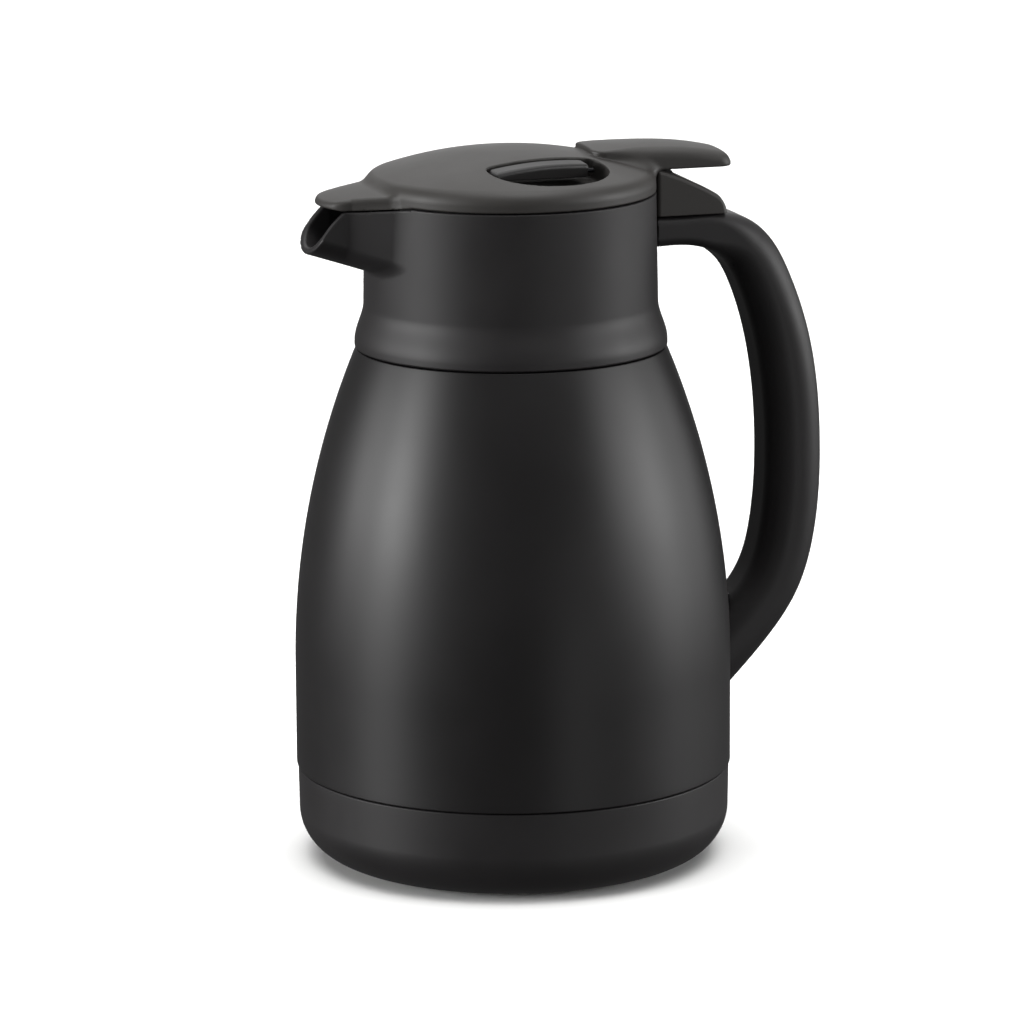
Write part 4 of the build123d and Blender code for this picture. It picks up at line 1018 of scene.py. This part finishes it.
# ------------------------------------------------------------------ properties, operators and panel
def size_property(label, note, default, low, high):
    """Length, given here in millimetres and kept as a real one."""
    return bpy.props.FloatProperty(name=label, description=note, subtype="DISTANCE", unit="LENGTH", precision=5,
                                   default=default * MM, min=low * MM, max=high * MM)


def level_property(label, note, default, high=500.0):
    """Plain number."""
    return bpy.props.FloatProperty(name=label, description=note, default=default, min=0.0, max=high)


def colour_property(label, note, default):
    """Colour, given as sRGB hex and kept linear."""
    return bpy.props.FloatVectorProperty(name=label, description=note, subtype="COLOR", size=3, min=0.0, max=1.0,
                                         default=linear(default)[:3])


class CarafeSizes(bpy.types.PropertyGroup):
    """Roundings, fillets and mesh sizes"""
    foot_round: size_property("Foot rounding", "Radius of the base's rounded foot", 15.5, 4, 20)
    sheet_edge: size_property("Sheet edge", "Rounding of the steel sheet at its seams", 0.4, 0.1, 0.6)
    spout_fillet: size_property("Spout fillet", "Hollow fillet between spout and collar", 1.8, 1, 10)
    beak_fillet: size_property("Beak fillet", "Hollow fillet between beak and dome", 1.8, 1, 12)
    beak_edge: size_property("Beak edge", "Rounding of the beak's upper edge", 1.2, 0.3, 3)
    lever_corner: size_property("Lever corners", "Corner radius of the lever seen from above", 4.5, 1, 12)
    lever_edge: size_property("Lever edge", "Rounding of the lever's upper edge", 3.4, 0.8, 4)
    lever_fillet: size_property("Lever fillet", "Hollow fillet between lever and dome", 3.5, 0.3, 10)
    block_edge: size_property("Block edge", "Rounding of the hinge block's long edges", 1.6, 0.3, 3)
    block_corner: size_property("Block corner", "Rounding of the hinge block's upright edges", 1.3, 0.3, 5)
    collar_step: size_property("Collar mesh", "Mesh size of the collar", 0.7, 0.4, 3)
    lid_step: size_property("Lid mesh", "Mesh size of the lid", 0.5, 0.3, 3)
    handle_step: size_property("Handle mesh", "Mesh size of the handle", 0.75, 0.4, 3)
    block_step: size_property("Block mesh", "Mesh size of the hinge block", 0.35, 0.2, 2)
    tab_step: size_property("Tab mesh", "Mesh size of the release tab", 0.3, 0.15, 2)


class CarafeColours(bpy.types.PropertyGroup):
    """Colours of the mouldings and the paint"""
    paint: colour_property("Paint", "Satin enamel on the steel wall", "#161415")
    dark_plastic: colour_property("Dark plastic", "Collar, base and handle", "#242223")
    # Lid plastic: warmer as the lid really is, and lighter partly as painted light on the lever's and hinge block's
    # sides.
    warm_plastic: colour_property("Lid plastic", "Lid, lever and hinge block", "#3a3836")
    tab: colour_property("Tab plastic", "Release tab", "#292828")


class CarafeStudio(bpy.types.PropertyGroup):
    """Levels of the room's windows and of the floor's light"""
    room_level: level_property("Room", "Brightness of the room between its windows", 0.13)
    left_level: level_property("Left window", "Brightness of the main window at the left", 28.0)
    left_high: level_property("Left window, high", "Brightness of the same window higher up", 12.0)
    left_far: level_property("Left window, far", "Brightness of the window behind at the left", 15.5)
    left_low: level_property("Left window, low", "Brightness low at the left", 3.4)
    left_front: level_property("Left front", "Brightness of the room at the left front", 0.3)
    right_level: level_property("Right window", "Brightness of the main window at the right", 16.5)
    right_front: level_property("Right window, front", "Brightness of the weaker window at the right front", 6.0)
    right_low: level_property("Right window, low", "Brightness below the main window at the right", 4.2)
    right_far: level_property("Right window, far", "Brightness of the window behind at the right", 2.2)
    back_level: level_property("Back", "Brightness behind the carafe", 1.5)
    back_high: level_property("Back, high", "Brightness behind and above the carafe", 2.0)
    front_right: level_property("Right front", "Brightness low at the right front", 1.3)
    ceiling: level_property("Ceiling", "Brightness straight overhead", 2.9)
    top_right: level_property("Overhead, right", "Brightness of the ceiling at the right", 1.1)
    top_back: level_property("Overhead, back", "Brightness of the ceiling behind", 0.9)
    floor_wash: level_property("Floor wash", "Watts of the box that lights the floor alone", 40.0)


class CARAFE_OT_finish_cad_pieces(bpy.types.Operator):
    """Give every CAD node its finish"""
    bl_idname = "carafe.finish_cad_pieces"
    bl_label = "Finish CAD pieces"

    def execute(self, context):
        dress_cad_pieces(lengths())
        return {"FINISHED"}


class CARAFE_OT_make_steel_wall(bpy.types.Operator):
    """Make the painted steel wall"""
    bl_idname = "carafe.make_steel_wall"
    bl_label = "Steel wall"

    def execute(self, context):
        make_steel_wall(lengths())
        return {"FINISHED"}


class CARAFE_OT_make_base(bpy.types.Operator):
    """Make the moulded base cover"""
    bl_idname = "carafe.make_base"
    bl_label = "Base"

    def execute(self, context):
        make_base_cover(lengths())
        return {"FINISHED"}


class CARAFE_OT_make_foot_pad(bpy.types.Operator):
    """Make the rubber pad under the base"""
    bl_idname = "carafe.make_foot_pad"
    bl_label = "Foot pad"

    def execute(self, context):
        make_foot_pad(lengths())
        return {"FINISHED"}


class CARAFE_OT_make_collar(bpy.types.Operator):
    """Make the collar with its spout"""
    bl_idname = "carafe.make_collar"
    bl_label = "Collar and spout"

    def execute(self, context):
        make_collar(lengths())
        return {"FINISHED"}


class CARAFE_OT_make_lid(bpy.types.Operator):
    """Make the lid with its beak and lever"""
    bl_idname = "carafe.make_lid"
    bl_label = "Lid"

    def execute(self, context):
        make_lid(lengths())
        return {"FINISHED"}


class CARAFE_OT_make_tab(bpy.types.Operator):
    """Make the release tab and its pin"""
    bl_idname = "carafe.make_tab"
    bl_label = "Release tab"

    def execute(self, context):
        make_tab(lengths())
        make_tab_pin(lengths())
        return {"FINISHED"}


class CARAFE_OT_make_handle(bpy.types.Operator):
    """Make the handle"""
    bl_idname = "carafe.make_handle"
    bl_label = "Handle"

    def execute(self, context):
        make_handle(lengths())
        return {"FINISHED"}


class CARAFE_OT_make_hinge_block(bpy.types.Operator):
    """Make the hinge block behind the lid"""
    bl_idname = "carafe.make_hinge_block"
    bl_label = "Hinge block"

    def execute(self, context):
        make_block(lengths())
        return {"FINISHED"}


class CARAFE_OT_make_stage(bpy.types.Operator):
    """Make the floor, the lights and the camera"""
    bl_idname = "carafe.make_stage"
    bl_label = "Stage"

    def execute(self, context):
        make_stage(context.scene.carafe_studio)
        return {"FINISHED"}


MAKERS = (
    CARAFE_OT_finish_cad_pieces, CARAFE_OT_make_steel_wall, CARAFE_OT_make_base, CARAFE_OT_make_foot_pad,
    CARAFE_OT_make_collar, CARAFE_OT_make_lid, CARAFE_OT_make_tab, CARAFE_OT_make_handle,
    CARAFE_OT_make_hinge_block, CARAFE_OT_make_stage,
)


class CARAFE_PT_pieces(bpy.types.Panel):
    """Buttons for the carafe's pieces"""
    bl_idname = "CARAFE_PT_pieces"
    bl_label = "Carafe"
    bl_space_type = "VIEW_3D"
    bl_region_type = "UI"
    bl_category = "Carafe"

    def draw(self, context):
        for operator in MAKERS:
            self.layout.operator(operator.bl_idname)


CLASSES = (CarafeSizes, CarafeColours, CarafeStudio, *MAKERS, CARAFE_PT_pieces)


def register():
    for c in CLASSES:
        bpy.utils.register_class(c)
    bpy.types.Scene.carafe_sizes = bpy.props.PointerProperty(type=CarafeSizes)
    bpy.types.Scene.carafe_colours = bpy.props.PointerProperty(type=CarafeColours)
    bpy.types.Scene.carafe_studio = bpy.props.PointerProperty(type=CarafeStudio)


def unregister():
    del bpy.types.Scene.carafe_studio, bpy.types.Scene.carafe_colours, bpy.types.Scene.carafe_sizes
    for c in reversed(CLASSES):
        bpy.utils.unregister_class(c)


def main():
    """Registers the add-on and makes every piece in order."""
    register()
    for operator in MAKERS:
        getattr(bpy.ops.carafe, operator.bl_idname.split(".")[1])()


if __name__ == "__main__":
    main()
